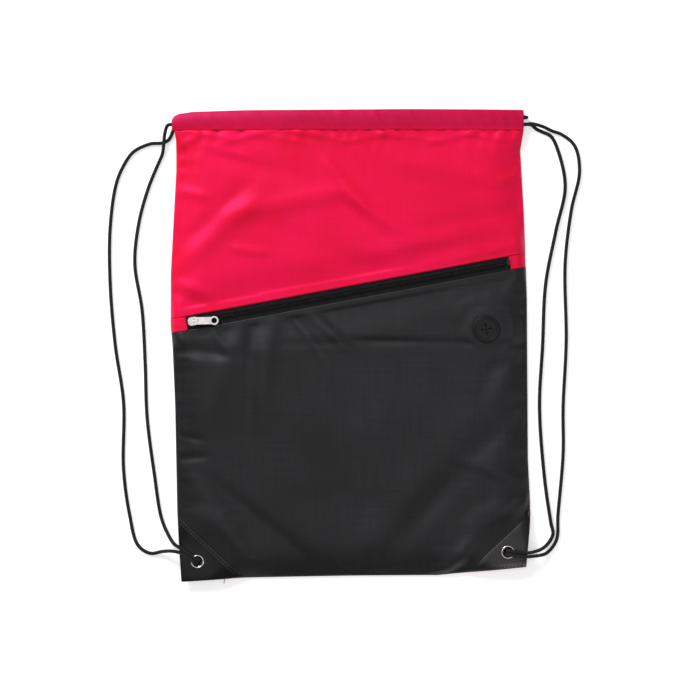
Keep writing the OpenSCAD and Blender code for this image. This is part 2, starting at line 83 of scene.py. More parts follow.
# Outline as cut and sewn, as (y, x) for the sides and (x, y) for the bottom and the mouth.
LEFT_SIDE = [(-.229, -.164), (-.16, -.1685), (-.06, -.1705), (0, -.173), (.02, -.1748), (.07, -.1748),
             (.105, -.173), (.17, -.1695), (.2, -.1695), (.209, -.171)]
RIGHT_SIDE = [(-.214, .1705), (-.17, .1745), (-.15, .1745), (-.11, .1725), (.045, .1715), (.13, .1685),
              (.19, .165), (.209, .168)]
BOTTOM = [(-.164, -.229), (-.108, -.2255), (0, -.2235), (.085, -.223), (.12, -.2195), (.171, -.2145)]
TUNNEL_TOP = [(-.1735, .219), (-.1715, .2225), (-.1665, .225), (-.162, .2254), (-.154, .2266), (-.1, .228),
              (-.03, .2284), (.05, .229), (.168, .2288)]


def metres(rows):
    """Rows of numbers written in millimetres."""
    return [tuple(round(v * MM, 7) for v in row) for row in rows]


def smooth(t):
    t = np.clip(t, 0, 1)
    return t * t * (3 - 2 * t)


def bulge(t):
    return 1 - (1 - np.clip(t, 0, 1)) ** 2.5


def along(points, t):
    xs, ys = zip(*points)
    return np.interp(t, xs, ys)


def left_x(y):
    return along(LEFT_SIDE, y)


def right_x(y):
    return along(RIGHT_SIDE, y)


def bottom_y(x):
    return along(BOTTOM, x)


def zip_off(x, y):
    return (y - ZIP_MID[1]) * math.cos(ZIP_TILT) - (x - ZIP_MID[0]) * math.sin(ZIP_TILT)


def zip_line(x, off):
    return ZIP_MID[1] + (x - ZIP_MID[0]) * math.tan(ZIP_TILT) + off / math.cos(ZIP_TILT)


def zip_place(run, off):
    c, s = math.cos(ZIP_TILT), math.sin(ZIP_TILT)
    return ZIP_MID[0] + run * c - off * s, ZIP_MID[1] + run * s + off * c


def from_eyelet(x, y):
    return np.minimum(*[np.hypot(x - e.x, y - e.y) for e in EYELETS.values()])


def from_seam(x, y):
    return np.maximum(0, np.minimum(np.minimum(x - left_x(y), right_x(y) - x), y - bottom_y(x)))


def lift(x, y):
    away = np.clip((from_eyelet(x, y) - 9 * MM) / (50 * MM), 0, 1)
    return 8.6 * MM * (1 - away ** 2) ** 2


def puff(x, y):
    reach = 12 * MM + 28 * MM * smooth((abs(zip_off(x, y)) - 10 * MM) / (40 * MM))
    return bulge(from_seam(x, y) / reach) * smooth((from_eyelet(x, y) - 10 * MM) / (40 * MM))


def tunnel_mid(x):
    return 7 * MM + 5.6 * MM * (1 - np.abs(x / 0.172) ** 4)


def lining_height(x, y):
    full = 6.2 * MM + 1.1 * MM * smooth((zip_off(x, y) - 5.8 * MM) / (5 * MM))
    return lift(x, y) + 1.3 * MM + (full - 1.3 * MM) * puff(x, y)


def front_height(x, y):
    """Underside of the front cloth, before any wrinkles."""
    valley = TAPE_TOP + 0.2 * MM
    full = valley + (12.6 * MM - valley) * smooth((abs(zip_off(x, y)) - 9 * MM) / (35 * MM))
    rest = lift(x, y) + 1.8 * MM + (full - 1.8 * MM) * puff(x, y)
    rest = rest + (tunnel_mid(x) - 0.3 * MM - rest) * smooth((y - 0.185) / 0.024)
    seat = 12.4 * MM
    return seat + (rest - seat) * smooth((np.hypot(x - PORT.x, y - PORT.y) - 22 * MM) / (16 * MM))


# ---------------------------------------------------------------- wrinkles

# Soft folds: from (x, y) to (x, y), half width and height. A negative height is a crease.
BLACK_FOLDS = metres([
    (35, 4.5, 171, 1.5, 3, -1.6), (-50, 2, 40, 4, 3, -0.8), (20, 11, 168, 10, 6, 0.8),
    (-45, 37, -12, 6, 5, 2.4), (-54, 26, -33, -1, 4.5, -1.8), (-76, 26, -86, -40, 8, 2.2),
    (-96, 22, -98, -50, 5.5, -1.8), (-108, 12, -134, -55, 9, 2), (-131, 12, -122, -2, 4, 1.6),
    (-168, -4, -120, -9, 5, -2), (-165, 6, -140, 7, 5, 1.4), (-118, -146, -62, -190, 7, -2.4),
    (-150, -138, -104, -196, 11, 2.2), (-60, -60, 0, -85, 15, 1.2), (-166, -87, -150, -90, 3, -1.4),
    (-165, -110, -146, -108, 3, -1.4), (171, -13, 138, -22, 6, -1.8), (138, -22, 128, -45, 7, -1.4),
    (150, -45, 168, -40, 9, 1.6), (166, -75, 130, -94, 8, -1.7), (130, -94, 78, -152, 10, -2.2),
    (78, -152, 30, -208, 10, -2), (100, -90, 30, -180, 15, 2), (121, -115, 166, -131, 6, 2.2),
    (172, -149, 97, -213, 6.5, 4.6), (172, -160, 106, -217, 4.5, -2.6), (20, 32, 165, 28, 18, -1.2),
    (-30, -150, 20, -155, 16, -1.2), (-100, -90, -50, -110, 14, -1.2),
])
RED_FOLDS = metres([
    (-146, 94, -104, 131, 8, 2.2), (-104, 131, -26, 146, 8, 2.2), (-150, 110, -112, 146, 6, -1.4),
    (-18, 171, 8, 140, 6, 2.4), (8, 140, 42, 117, 6, 2.2), (-6, 136, 30, 104, 6, -1.2),
    (-108, 94, -88, 91, 4, 1.4), (-169, 60, -144, 53, 5, 1.3), (-144, 53, -134, 40, 4.5, 1),
    (-166, 50, -150, 40, 5, -1.2), (92, 82, 168, 100, 7, 2), (100, 118, 166, 132, 8, -1.4),
    (-120, 182, -70, 168, 7, -1.4), (60, 176, 120, 166, 8, 1.6), (-164, 150, -146, 146, 4, 1.4),
    (148, 160, 167, 168, 5, 1.4), (-60, 108, 10, 78, 9, -1.2), (30, 92, 85, 104, 7, 1.2),
    (-166, 194, -148, 203, 3, 1.2), (-150, 207, -120, 202, 2.6, 1.2), (-118, 198, -88, 206, 3, 1.2),
    (-82, 203, -52, 198, 2.6, 1), (-45, 206, -16, 201, 2.6, 1.2), (-4, 198, 30, 205, 3, 1),
    (38, 204, 76, 200, 2.6, 1), (84, 198, 116, 206, 3, 1.2), (120, 204, 156, 199, 2.6, 1),
    (-128, 190, -104, 184, 3.4, 1),
])


def folds(x, y, table, widen, scale):
    z = np.zeros_like(x)
    for x0, y0, x1, y1, width, height in table:
        width, height = width * widen, height * scale
        dx, dy = x1 - x0, y1 - y0
        length = math.hypot(dx, dy)
        run = ((x - x0) * dx + (y - y0) * dy) / length
        off = ((y - y0) * dx - (x - x0) * dy) / length
        past = np.maximum(np.maximum(-run, run - length), 0) / (0.25 * length + width)
        z = z + height * np.exp(-(off / width) ** 2 - past ** 2)
    return z


def ripples(s, away, pitch, depth, reach, seed):
    """Puckers that a row of stitches at away = 0 pulls into the cloth, along s."""
    rng = np.random.default_rng(seed)
    z = np.zeros_like(s)
    for _ in range(5):
        k = 2 * math.pi / (pitch * rng.uniform(0.7, 1.6))
        z = z + np.sin(k * s + rng.uniform(0, 7) + 3 * np.sin(s * rng.uniform(20, 45))) / 5
    fade = np.clip(away / (1.2 * MM), 0, 1) * np.exp(-np.maximum(away, 0) / reach)
    return depth * z * fade * 2


def noise_field(x, y, seed, scale):
    """Slow, smooth, repeatable unevenness between about -1 and 1."""
    rng = np.random.default_rng(seed)
    z = np.zeros_like(x)
    for _ in range(12):
        a = rng.uniform(0, 2 * math.pi)
        k = 2 * math.pi / (scale * rng.uniform(0.6, 1.8))
        z = z + np.sin(k * (x * math.cos(a) + y * math.sin(a)) + rng.uniform(0, 7))
    return z / 5


# ---------------------------------------------------------------- mesh helpers


def new_object(name, verts, faces, material=None, smooth_faces=True):
    mesh = bpy.data.meshes.new(name)
    mesh.from_pydata([tuple(map(float, v)) for v in verts], [], [tuple(map(int, f)) for f in faces])
    mesh.validate()
    mesh.update()
    if smooth_faces:
        mesh.polygons.foreach_set("use_smooth", [True] * len(mesh.polygons))
    o = bpy.data.objects.new(name, mesh)
    bpy.context.scene.collection.objects.link(o)
    if material:
        mesh.materials.append(material)
    return o


def grid_faces(rows, cols):
    i, j = np.meshgrid(np.arange(rows - 1), np.arange(cols - 1), indexing="ij")
    a = (i * cols + j).ravel()
    return np.stack([a, a + 1, a + cols + 1, a + cols], 1)


def apply_modifiers(o):
    dg = bpy.context.evaluated_depsgraph_get()
    mesh = bpy.data.meshes.new_from_object(o.evaluated_get(dg))
    o.modifiers.clear()
    old = o.data
    o.data = mesh
    bpy.data.meshes.remove(old)
    return o


def finish_piece(o, body, nodes=()):
    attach(o, body)
    if nodes:
        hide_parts(*nodes)
    return o


def plan(low, top, nx, ny, inset=0.0):
    """Plan points of a panel from its low edge to its top edge, between the bag's sides."""
    u = np.linspace(0, 1, nx)[None, :]
    v = np.linspace(0, 1, ny)[:, None]
    x = -0.17 + 0.34 * u + 0 * v
    for _ in range(4):
        y = low(x) + (top(x) - low(x)) * v
        x = left_x(y) + inset + (right_x(y) - left_x(y) - 2 * inset) * u
    return x, y


def thicken(o, depth, offset=1):
    m = o.modifiers.new("thickness", "SOLIDIFY")
    m.thickness = depth
    m.offset = offset
    return apply_modifiers(o)


def sheet_object(name, x, y, z, material, thick=CLOTH, holes=()):
    rows, cols = x.shape
    verts = np.stack([x.ravel(), y.ravel(), z.ravel()], 1)
    faces = grid_faces(rows, cols)
    if holes:
        mid = verts[faces].mean(1)
        keep = np.ones(len(faces), bool)
        for cx, cy, r in holes:
            keep &= np.hypot(mid[:, 0] - cx, mid[:, 1] - cy) > r
        faces = faces[keep]
        used, back = np.unique(faces, return_inverse=True)
        verts, faces = verts[used], back.reshape(faces.shape)
    o = new_object(name, verts, faces, material)
    return thicken(o, thick)


def simulate(x, y, z, pinned, grow, frames=22, seed=1):
    """Cloth held where pinned is set and cut a little too big, so that it buckles. Gives heights."""
    rows, cols = x.shape
    start = z + 0.25 * MM * noise_field(x, y, seed, 0.06) * (1 - pinned)
    o = new_object("cloth_sim", np.stack([x.ravel(), y.ravel(), start.ravel()], 1), grid_faces(rows, cols))
    group = o.vertex_groups.new(name="pin")
    for i in np.flatnonzero(pinned.ravel() > 0.5):
        group.add([int(i)], 1.0, "REPLACE")
    m = o.modifiers.new("cloth", "CLOTH")
    s = m.settings
    s.quality = 6
    s.mass = 0.12
    s.tension_stiffness = 20
    s.compression_stiffness = 12
    s.shear_stiffness = 8
    s.bending_stiffness = 0.35
    s.vertex_group_mass = "pin"
    s.shrink_min = -grow
    s.shrink_max = -grow
    s.effector_weights.gravity = 0.05
    m.collision_settings.use_collision = False
    m.point_cache.frame_start = 1
    m.point_cache.frame_end = frames
    for f in range(1, frames + 1):
        bpy.context.scene.frame_set(f)
    dg = bpy.context.evaluated_depsgraph_get()
    e = o.evaluated_get(dg)
    co = np.zeros(len(o.data.vertices) * 3)
    e.data.vertices.foreach_get("co", co)
    moved = co.reshape(-1, 3)[:, 2].reshape(rows, cols) - z
    bpy.data.objects.remove(o)
    bpy.context.scene.frame_set(1)
    return moved


def resample(field, rows, cols):
    """A field on a coarse grid, on a finer one over the same piece."""
    r, c = field.shape
    v = np.linspace(0, r - 1, rows)
    u = np.linspace(0, c - 1, cols)
    first = np.array([np.interp(u, np.arange(c), row) for row in field])
    return np.array([np.interp(v, np.arange(r), col) for col in first.T]).T


def soften(z, times, hold):
    """Rounds the field, except where hold is set."""
    for _ in range(times):
        p = np.pad(z, 1, mode="edge")
        mean = (p[:-2, 1:-1] + p[2:, 1:-1] + p[1:-1, :-2] + p[1:-1, 2:]) / 4
        z = np.where(hold > 0.5, z, 0.5 * z + 0.5 * mean)
    return z


def ring_frames(path):
    """Tangents and two steady normals along a path."""
    t = np.gradient(path, axis=0)
    t /= np.linalg.norm(t, axis=1)[:, None]
    n = np.zeros_like(t)
    first = np.cross(t[0], [0.1, 0.2, 1.0])
    n[0] = first / np.linalg.norm(first)
    for i in range(1, len(t)):
        v = n[i - 1] - t[i] * np.dot(n[i - 1], t[i])
        n[i] = v / np.linalg.norm(v)
    return t, n, np.cross(t, n)


def tube(name, path, radius, sides, material, relief=None):
    """Round tube along a path. relief(angle, run) is added to the radius."""
    path = np.asarray(path, float)
    t, n, b = ring_frames(path)
    run = np.concatenate([[0], np.cumsum(np.linalg.norm(np.diff(path, axis=0), axis=1))])
    a = np.arange(sides) * 2 * math.pi / sides
    r = np.full((len(path), sides), radius)
    if relief is not None:
        r = r + relief(a[None, :], run[:, None])
    rings = (path[:, None, :] + r[..., None] * (np.cos(a)[None, :, None] * n[:, None, :]
                                                + np.sin(a)[None, :, None] * b[:, None, :]))
    verts = rings.reshape(-1, 3)
    i, j = np.meshgrid(np.arange(len(path) - 1), np.arange(sides), indexing="ij")
    k = (j + 1) % sides
    faces = [tuple(q) for q in np.stack([(i * sides + j).ravel(), (i * sides + k).ravel(),
                                         ((i + 1) * sides + k).ravel(), ((i + 1) * sides + j).ravel()], 1)]
    last = (len(path) - 1) * sides
    faces.append(tuple(range(sides - 1, -1, -1)))
    faces.append(tuple(last + s for s in range(sides)))
    o = new_object(name, verts, faces, material)
    uv = o.data.uv_layers.new(name="braid")
    loops = np.zeros(len(o.data.loops), int)
    o.data.loops.foreach_get("vertex_index", loops)
    ring, side = loops // sides, loops % sides
    around = side / sides
    starts = np.zeros(len(o.data.polygons), int)
    counts = np.zeros(len(o.data.polygons), int)
    o.data.polygons.foreach_get("loop_start", starts)
    o.data.polygons.foreach_get("loop_total", counts)
    poly = np.repeat(np.arange(len(starts)), counts)
    wraps = np.zeros(len(starts), bool)
    np.logical_or.at(wraps, poly, side == sides - 1)
    zero = (side == 0) & wraps[poly] & (counts[poly] == 4)
    around = np.where(zero, 1.0, around)
    coords = np.stack([around, run[ring] / CORD_D], 1).astype(np.float32)
    uv.data.foreach_set("uv", coords.ravel())
    return o


def spline(points, step):
    """Smooth curve through given points, at even steps."""
    p = np.asarray(points, float)
    p = np.vstack([2 * p[0] - p[1], p, 2 * p[-1] - p[-2]])
    out = []
    for i in range(1, len(p) - 2):
        p0, p1, p2, p3 = p[i - 1:i + 3]
        d = np.sqrt(np.linalg.norm([p1 - p0, p2 - p1, p3 - p2], axis=1)) + 1e-6
        t0, t1, t2, t3 = 0, d[0], d[0] + d[1], d.sum()
        n = max(2, int(np.linalg.norm(p2 - p1) / step) * 2)
        t = np.linspace(t1, t2, n, endpoint=False)[:, None]
        a1 = (t1 - t) / (t1 - t0) * p0 + (t - t0) / (t1 - t0) * p1
        a2 = (t2 - t) / (t2 - t1) * p1 + (t - t1) / (t2 - t1) * p2
        a3 = (t3 - t) / (t3 - t2) * p2 + (t - t2) / (t3 - t2) * p3
        b1 = (t2 - t) / (t2 - t0) * a1 + (t - t0) / (t2 - t0) * a2
        b2 = (t3 - t) / (t3 - t1) * a2 + (t - t1) / (t3 - t1) * a3
        out.append((t2 - t) / (t2 - t1) * b1 + (t - t1) / (t2 - t1) * b2)
    line = np.vstack(out + [p[-2][None]])
    run = np.concatenate([[0], np.cumsum(np.linalg.norm(np.diff(line, axis=0), axis=1))])
    even = np.linspace(0, run[-1], int(run[-1] / step) + 1)
    return np.stack([np.interp(even, run, line[:, k]) for k in range(3)], 1)


def lathe(name, profile, centre, material, sides=96):
    """Ring of revolution about a vertical axis, from a closed (radius, height) profile."""
    n = len(profile)
    a = np.arange(sides) * 2 * math.pi / sides
    verts = [(centre.x + r * math.cos(t), centre.y + r * math.sin(t), z) for t in a for r, z in profile]
    ring = [(i * n, (i + 1) % sides * n) for i in range(sides)]
    faces = [(a + k, b + k, b + (k + 1) % n, a + (k + 1) % n) for a, b in ring for k in range(n)]
    return new_object(name, verts, faces, material)


# ---------------------------------------------------------------- materials


def material(name, colour, roughness, metallic=0.0, specular=0.5, sheen=0.0):
    m = bpy.data.materials.new(name)
    m.use_nodes = True
    n = m.node_tree.nodes
    b = n["Principled BSDF"]
    b.inputs["Base Color"].default_value = (*colour, 1)
    b.inputs["Roughness"].default_value = roughness
    b.inputs["Metallic"].default_value = metallic
    b.inputs["Specular IOR Level"].default_value = specular
    b.inputs["Sheen Weight"].default_value = sheen
    b.inputs["Sheen Roughness"].default_value = 0.45
    return m


class Nodes:
    """Short forms for wiring a material's nodes."""

    def __init__(self, mat):
        self.tree = mat.node_tree
        self.shader = self.tree.nodes["Principled BSDF"]

    def add(self, kind, **values):
        node = self.tree.nodes.new(kind)
        for key, value in values.items():
            if key in node.inputs:
                node.inputs[key].default_value = value
            else:
                setattr(node, key, value)
        return node

    def link(self, a, b):
        self.tree.links.new(a, b)

    def math(self, op, a, b=None):
        node = self.add("ShaderNodeMath", operation=op)
        for i, v in enumerate((a, b)):
            if v is None:
                continue
            if isinstance(v, (int, float)):
                node.inputs[i].default_value = v
            else:
                self.link(v, node.inputs[i])
        return node.outputs[0]

    def axis(self, socket):
        parts = self.add("ShaderNodeSeparateXYZ")
        self.link(socket, parts.inputs[0])
        return parts.outputs

    def position(self):
        return self.add("ShaderNodeTexCoord").outputs["Object"]

    def noise(self, scale, detail=3.0, vector=None):
        node = self.add("ShaderNodeTexNoise", Scale=scale, Detail=detail)
        if vector is not None:
            self.link(vector, node.inputs["Vector"])
        else:
            self.link(self.position(), node.inputs["Vector"])
        return node.outputs["Fac"]

    def bump(self, height, distance, strength=1.0, after=None):
        node = self.add("ShaderNodeBump", Strength=strength, Distance=distance)
        self.link(height, node.inputs["Height"])
        if after is not None:
            self.link(after, node.inputs["Normal"])
        return node.outputs["Normal"]

    def ramp(self, value, low, high, colour_low, colour_high):
        node = self.add("ShaderNodeValToRGB")
        e = node.color_ramp.elements
        e[0].position, e[1].position = low, high
        e[0].color, e[1].color = (*colour_low, 1), (*colour_high, 1)
        self.link(value, node.inputs[0])
        return node.outputs[0]

    def stretched(self, scale):
        """Object coordinates drawn out, so that a noise over them makes streaks."""
        node = self.add("ShaderNodeMapping")
        node.inputs["Scale"].default_value = scale
        self.link(self.position(), node.inputs["Vector"])
        return node.outputs["Vector"]

    def dim(self, colour, value, low, high):
        """A colour made darker or lighter by a value between 0 and 1."""
        node = self.add("ShaderNodeVectorMath", operation="SCALE")
        self.link(colour, node.inputs[0])
        self.link(self.spread(value, low, high), node.inputs["Scale"])
        return node.outputs[0]

    def blend(self, value, first, second):
        node = self.add("ShaderNodeMix", data_type="RGBA")
        self.link(value, node.inputs["Factor"])
        self.link(first, node.inputs["A"])
        self.link(second, node.inputs["B"])
        return node.outputs["Result"]

    def fade(self, value, none_at, full_at):
        """0 where the value is none_at, rising smoothly to 1 where it is full_at."""
        node = self.add("ShaderNodeMapRange")
        node.interpolation_type = "SMOOTHSTEP"
        node.inputs["From Min"].default_value = none_at
        node.inputs["From Max"].default_value = full_at
        self.link(value, node.inputs["Value"])
        return node.outputs["Result"]

    def spread(self, value, low, high):
        node = self.add("ShaderNodeMapRange")
        node.inputs["To Min"].default_value = low
        node.inputs["To Max"].default_value = high
        self.link(value, node.inputs["Value"])
        return node.outputs[0]


def weave(n, pitch, tilt=0.0):
    """Height of a plain weave with one thread every pitch metres, in both directions."""
    parts = n.axis(n.position())
    k = math.pi / pitch
    c, s = math.cos(tilt), math.sin(tilt)
    u = n.math("ADD", n.math("MULTIPLY", parts[0], c * k), n.math("MULTIPLY", parts[1], s * k))
    v = n.math("ADD", n.math("MULTIPLY", parts[0], -s * k), n.math("MULTIPLY", parts[1], c * k))
    warp = n.math("ABSOLUTE", n.math("SINE", u))
    weft = n.math("ABSOLUTE", n.math("SINE", v))
    over = n.math("MULTIPLY", n.math("SINE", u), n.math("SINE", v))
    turn = n.math("MULTIPLY", n.math("ADD", over, 1.0), 0.5)
    lean = n.math("MULTIPLY", n.math("SUBTRACT", warp, weft), turn)
    return n.math("ADD", weft, lean)


def cloth_material(name, colour, light, roughness, sheen, tint, specular=0.3, streaks=0.06,
                   pitch=0.42 * MM, depth=0.05 * MM):
    m = material(name, colour, roughness, sheen=sheen, specular=specular)
    n = Nodes(m)
    n.shader.inputs["Sheen Tint"].default_value = (*tint, 1)
    n.shader.inputs["Specular Tint"].default_value = (*tint, 1)
    patchy = n.noise(11.0, 4.0)
    shade = n.ramp(patchy, 0.3, 0.72, colour, light)
    for stretch in ((0.12, 2.4, 1.0), (2.4, 0.12, 1.0)):
        shade = n.dim(shade, n.noise(170.0, 3.0, n.stretched(stretch)), 1 - streaks, 1 + streaks)
    n.link(shade, n.shader.inputs["Base Color"])
    n.link(n.spread(n.noise(60.0, 4.0), roughness - 0.06, roughness + 0.08), n.shader.inputs["Roughness"])
    slub = n.bump(n.noise(900.0, 2.0), 0.04 * MM, 0.5)
    n.link(n.bump(weave(n, pitch), depth, 0.9, after=slub), n.shader.inputs["Normal"])
    return m


def vinyl_material(name, shine):
    m = material(name, (0.005, 0.004, 0.004), 0.32, specular=shine)
    n = Nodes(m)
    cells = n.add("ShaderNodeTexVoronoi", Scale=1100.0)
    n.link(n.position(), cells.inputs["Vector"])
    grain = n.bump(cells.outputs["Distance"], 0.06 * MM, 0.6)
    creased = n.bump(n.noise(70.0, 5.0), 0.5 * MM, 0.35, after=grain)
    n.link(creased, n.shader.inputs["Normal"])
    n.link(n.spread(n.noise(45.0, 4.0), 0.24, 0.42), n.shader.inputs["Roughness"])
    n.link(n.ramp(n.noise(25.0, 4.0), 0.3, 0.75, (0.003, 0.0025, 0.0025), (0.006, 0.005, 0.005)),
           n.shader.inputs["Base Color"])
    return m


def metal_material():
    m = material("nickel", (0.6, 0.57, 0.56), 0.2, metallic=1.0)
    n = Nodes(m)
    n.link(n.spread(n.noise(500.0, 6.0), 0.12, 0.34), n.shader.inputs["Roughness"])
    n.link(n.bump(n.noise(1600.0, 3.0), 0.02 * MM, 0.4), n.shader.inputs["Normal"])
    n.link(n.ramp(n.noise(120.0, 4.0), 0.35, 0.7, (0.50, 0.47, 0.47), (0.68, 0.64, 0.63)),
           n.shader.inputs["Base Color"])
    return m


def rubber_material():
    m = material("port_rubber", (0.007, 0.007, 0.007), 0.5, specular=0.2)
    n = Nodes(m)
    n.link(n.bump(n.noise(1500.0, 4.0), 0.03 * MM, 0.5), n.shader.inputs["Normal"])
    n.link(n.spread(n.noise(180.0, 4.0), 0.42, 0.6), n.shader.inputs["Roughness"])
    n.link(n.ramp(n.noise(90.0, 5.0), 0.3, 0.8, (0.005, 0.005, 0.005), (0.009, 0.009, 0.0095)),
           n.shader.inputs["Base Color"])
    return m


def tape_material():
    """Zip tape: a fine herringbone that runs along the zip."""
    m = material("zip_tape", (0.006, 0.005, 0.006), 0.7, specular=0.12, sheen=0.05)
    n = Nodes(m)
    n.link(n.bump(weave(n, 0.5 * MM, ZIP_TILT + math.pi / 4), 0.09 * MM, 1.0), n.shader.inputs["Normal"])
    n.link(n.ramp(n.noise(300.0, 3.0), 0.3, 0.8, (0.004, 0.004, 0.004), (0.010, 0.009, 0.010)),
           n.shader.inputs["Base Color"])
    return m


def coil_material():
    m = material("zip_coil", (0.005, 0.005, 0.005), 0.32, specular=0.3)
    n = Nodes(m)
    n.link(n.spread(n.noise(700.0, 3.0), 0.2, 0.4), n.shader.inputs["Roughness"])
    return m


def thread_material(name, colour):
    m = material(name, colour, 0.6, specular=0.2, sheen=0.05)
    n = Nodes(m)
    twist = n.add("ShaderNodeTexWave", Scale=900.0, Distortion=1.0)
    n.link(n.position(), twist.inputs["Vector"])
    n.link(n.bump(twist.outputs["Fac"], 0.05 * MM, 0.8), n.shader.inputs["Normal"])
    return m


def cord_material():
    """Round braid: fine yarns along each of the lobes that the mesh holds."""
    m = material("cord", (0.006, 0.006, 0.006), 0.6, sheen=0.06, specular=0.2)
    n = Nodes(m)
    uv = n.add("ShaderNodeUVMap", uv_map="braid").outputs["UV"]
    parts = n.axis(uv)
    lines = []
    for hand in (1, -1):
        turn = n.math("MULTIPLY", parts[0], hand * 2 * math.pi * 12)
        climb = n.math("MULTIPLY", parts[1], 2 * math.pi * 5)
        lines.append(n.math("SINE", n.math("ADD", turn, climb)))
    yarn = n.math("MAXIMUM", lines[0], lines[1])
    fuzz = n.bump(n.noise(2200.0, 2.0), 0.06 * MM, 0.6)
    n.link(n.bump(yarn, 0.08 * MM, 0.9, after=fuzz), n.shader.inputs["Normal"])
    # Painted shade: the base colour is darker in the grooves between the yarns and lighter on the yarn
    # crests.
    shade = n.spread(yarn, 0.2, 1.0)
    n.link(n.ramp(shade, 0.2, 0.9, (0.003, 0.003, 0.003), (0.014, 0.013, 0.014)),
           n.shader.inputs["Base Color"])
    return m


RED_CLOTH = cloth_material("red_cloth", (0.68, 0.005, 0.017), (0.79, 0.006, 0.052), 0.38, 0.12,
                           (1.0, 0.10, 0.62), specular=0.55)
# Hem cloth: a darker copy of the red cloth, as painted shade where the black cord inside the drawstring
# tunnels shows through the thin cloth.
HEM_PAINTED_SHADE_CLOTH = cloth_material("hem_painted_shade_cloth", (0.44, 0.005, 0.034), (0.52, 0.006, 0.044), 0.4, 0.1,
                           (1.0, 0.15, 0.7), specular=0.4)


def fade_to(mat, low_y, high_y, other_dark, other_light):
    """Turns a cloth's colour into another's below a line across the bag, with a ragged edge. On the hem
    this ends the painted shade, so the hem's lower part has the panel's red.
    """
    n = Nodes(mat)
    own = n.shader.inputs["Base Color"].links[0].from_socket
    ragged = n.math("ADD", n.axis(n.position())[1], n.math("MULTIPLY", n.noise(90.0, 3.0), 5 * MM))
    where = n.fade(ragged, low_y + 2.5 * MM, high_y + 2.5 * MM)
    other = n.ramp(n.noise(14.0, 4.0), 0.3, 0.72, other_dark, other_light)
    n.link(n.blend(where, other, own), n.shader.inputs["Base Color"])


# The hem's painted shade stops along this line: below it the hem has the panel's red.
fade_to(HEM_PAINTED_SHADE_CLOTH, 0.2085, 0.2165, (0.62, 0.005, 0.03), (0.76, 0.006, 0.052))
BLACK_CLOTH = cloth_material("black_cloth", (0.0045, 0.0043, 0.0045), (0.0100, 0.0100, 0.0112), 0.44, 0.04,
                             (0.95, 0.95, 1.0), specular=0.28, streaks=0.5)
LINING_CLOTH = cloth_material("lining_cloth", (0.03, 0.03, 0.033), (0.045, 0.045, 0.05), 0.6, 0.2,
                              (1, 1, 1))
VINYL = vinyl_material("vinyl", 0.2)
# Shinier vinyl for the right corner patches, which also carries a painted sheen highlight.
PAINTED_SHEEN_VINYL = vinyl_material("painted_sheen_vinyl", 0.42)


def paint_sheen_highlight(mat, corner_x, corner_y, rise):
    """Paints a pale grey highlight on a coated patch along the bag's bottom edge, most of all beside the
    corner: painted sheen where the glossy coating catches the light.
    """
    n = Nodes(mat)
    own = n.shader.inputs["Base Color"].links[0].from_socket
    parts = n.axis(n.position())
    inward = n.math("SUBTRACT", corner_x, parts[0])
    edge_y = n.math("SUBTRACT", corner_y, n.math("MULTIPLY", inward, rise))
    ragged = n.math("MULTIPLY", n.noise(160.0, 4.0), 3 * MM)
    above = n.math("ADD", n.math("SUBTRACT", parts[1], edge_y), ragged)
    amount = n.math("MULTIPLY", n.fade(above, 9.5 * MM, 3 * MM), n.fade(inward, 44 * MM, 3 * MM))
    pale = n.ramp(n.noise(300.0, 4.0), 0.3, 0.75, (0.075, 0.066, 0.075), (0.13, 0.115, 0.13))
    n.link(n.blend(amount, own, pale), n.shader.inputs["Base Color"])


# Painted sheen highlight on the right patches' vinyl, pale grey by the bottom edge near the corner.
paint_sheen_highlight(PAINTED_SHEEN_VINYL, 0.171, -0.2155, 0.09)
NICKEL = metal_material()
RUBBER = rubber_material()
TAPE = tape_material()
COIL = coil_material()
CORD = cord_material()
BLACK_THREAD = thread_material("black_thread", (0.006, 0.006, 0.006))
GREY_THREAD = thread_material("grey_thread", (0.05, 0.05, 0.055))
RED_THREAD = thread_material("red_thread", (0.74, 0.006, 0.04))

# ---------------------------------------------------------------- camera, floor and light


def camera_and_light():
    scene = bpy.context.scene
    scene.view_settings.view_transform = "Standard"
    data = bpy.data.cameras.new("camera")
    data.sensor_width = 36
    data.lens = 106.5
    data.clip_end = 20
    cam = bpy.data.objects.new("camera", data)
    cam.location = (-0.0005, -0.0041, 2.018)
    scene.collection.objects.link(cam)
    scene.camera = cam

    paper = material("floor", (0.85, 0.85, 0.85), 0.9, specular=0.1)
    glow = paper.node_tree.nodes["Principled BSDF"]
    glow.inputs["Emission Color"].default_value = (1, 1, 1, 1)
    glow.inputs["Emission Strength"].default_value = 0.43
    floor = new_object("floor", [(-6, -6, 0), (6, -6, 0), (6, 6, 0), (-6, 6, 0)], [(0, 1, 2, 3)], paper,
                       smooth_faces=False)

    world = bpy.data.worlds.new("studio")
    world.use_nodes = True
    world.node_tree.nodes["Background"].inputs["Color"].default_value = (1, 1, 1, 1)
    world.node_tree.nodes["Background"].inputs["Strength"].default_value = 0.3
    scene.world = world

    def area(name, place, target, size, power):
        light = bpy.data.lights.new(name, "AREA")
        light.shape = "RECTANGLE"
        light.size, light.size_y = size
        light.energy = power
        o = bpy.data.objects.new(name, light)
        o.location = place
        o.rotation_euler = (Vector(target) - Vector(place)).to_track_quat("-Z", "Y").to_euler()
        scene.collection.objects.link(o)

    area("overhead", (0, 0, 2.6), (0, 0, 0), (2.2, 2.2), 16)
    area("key", (-1.1, 1.5, 1.25), (0, 0, 0), (0.8, 0.8), 48)
    area("rim", (1.7, -0.9, 0.9), (0, 0, 0), (0.6, 1.0), 7)


camera_and_light()

# ---------------------------------------------------------------- cloth panels


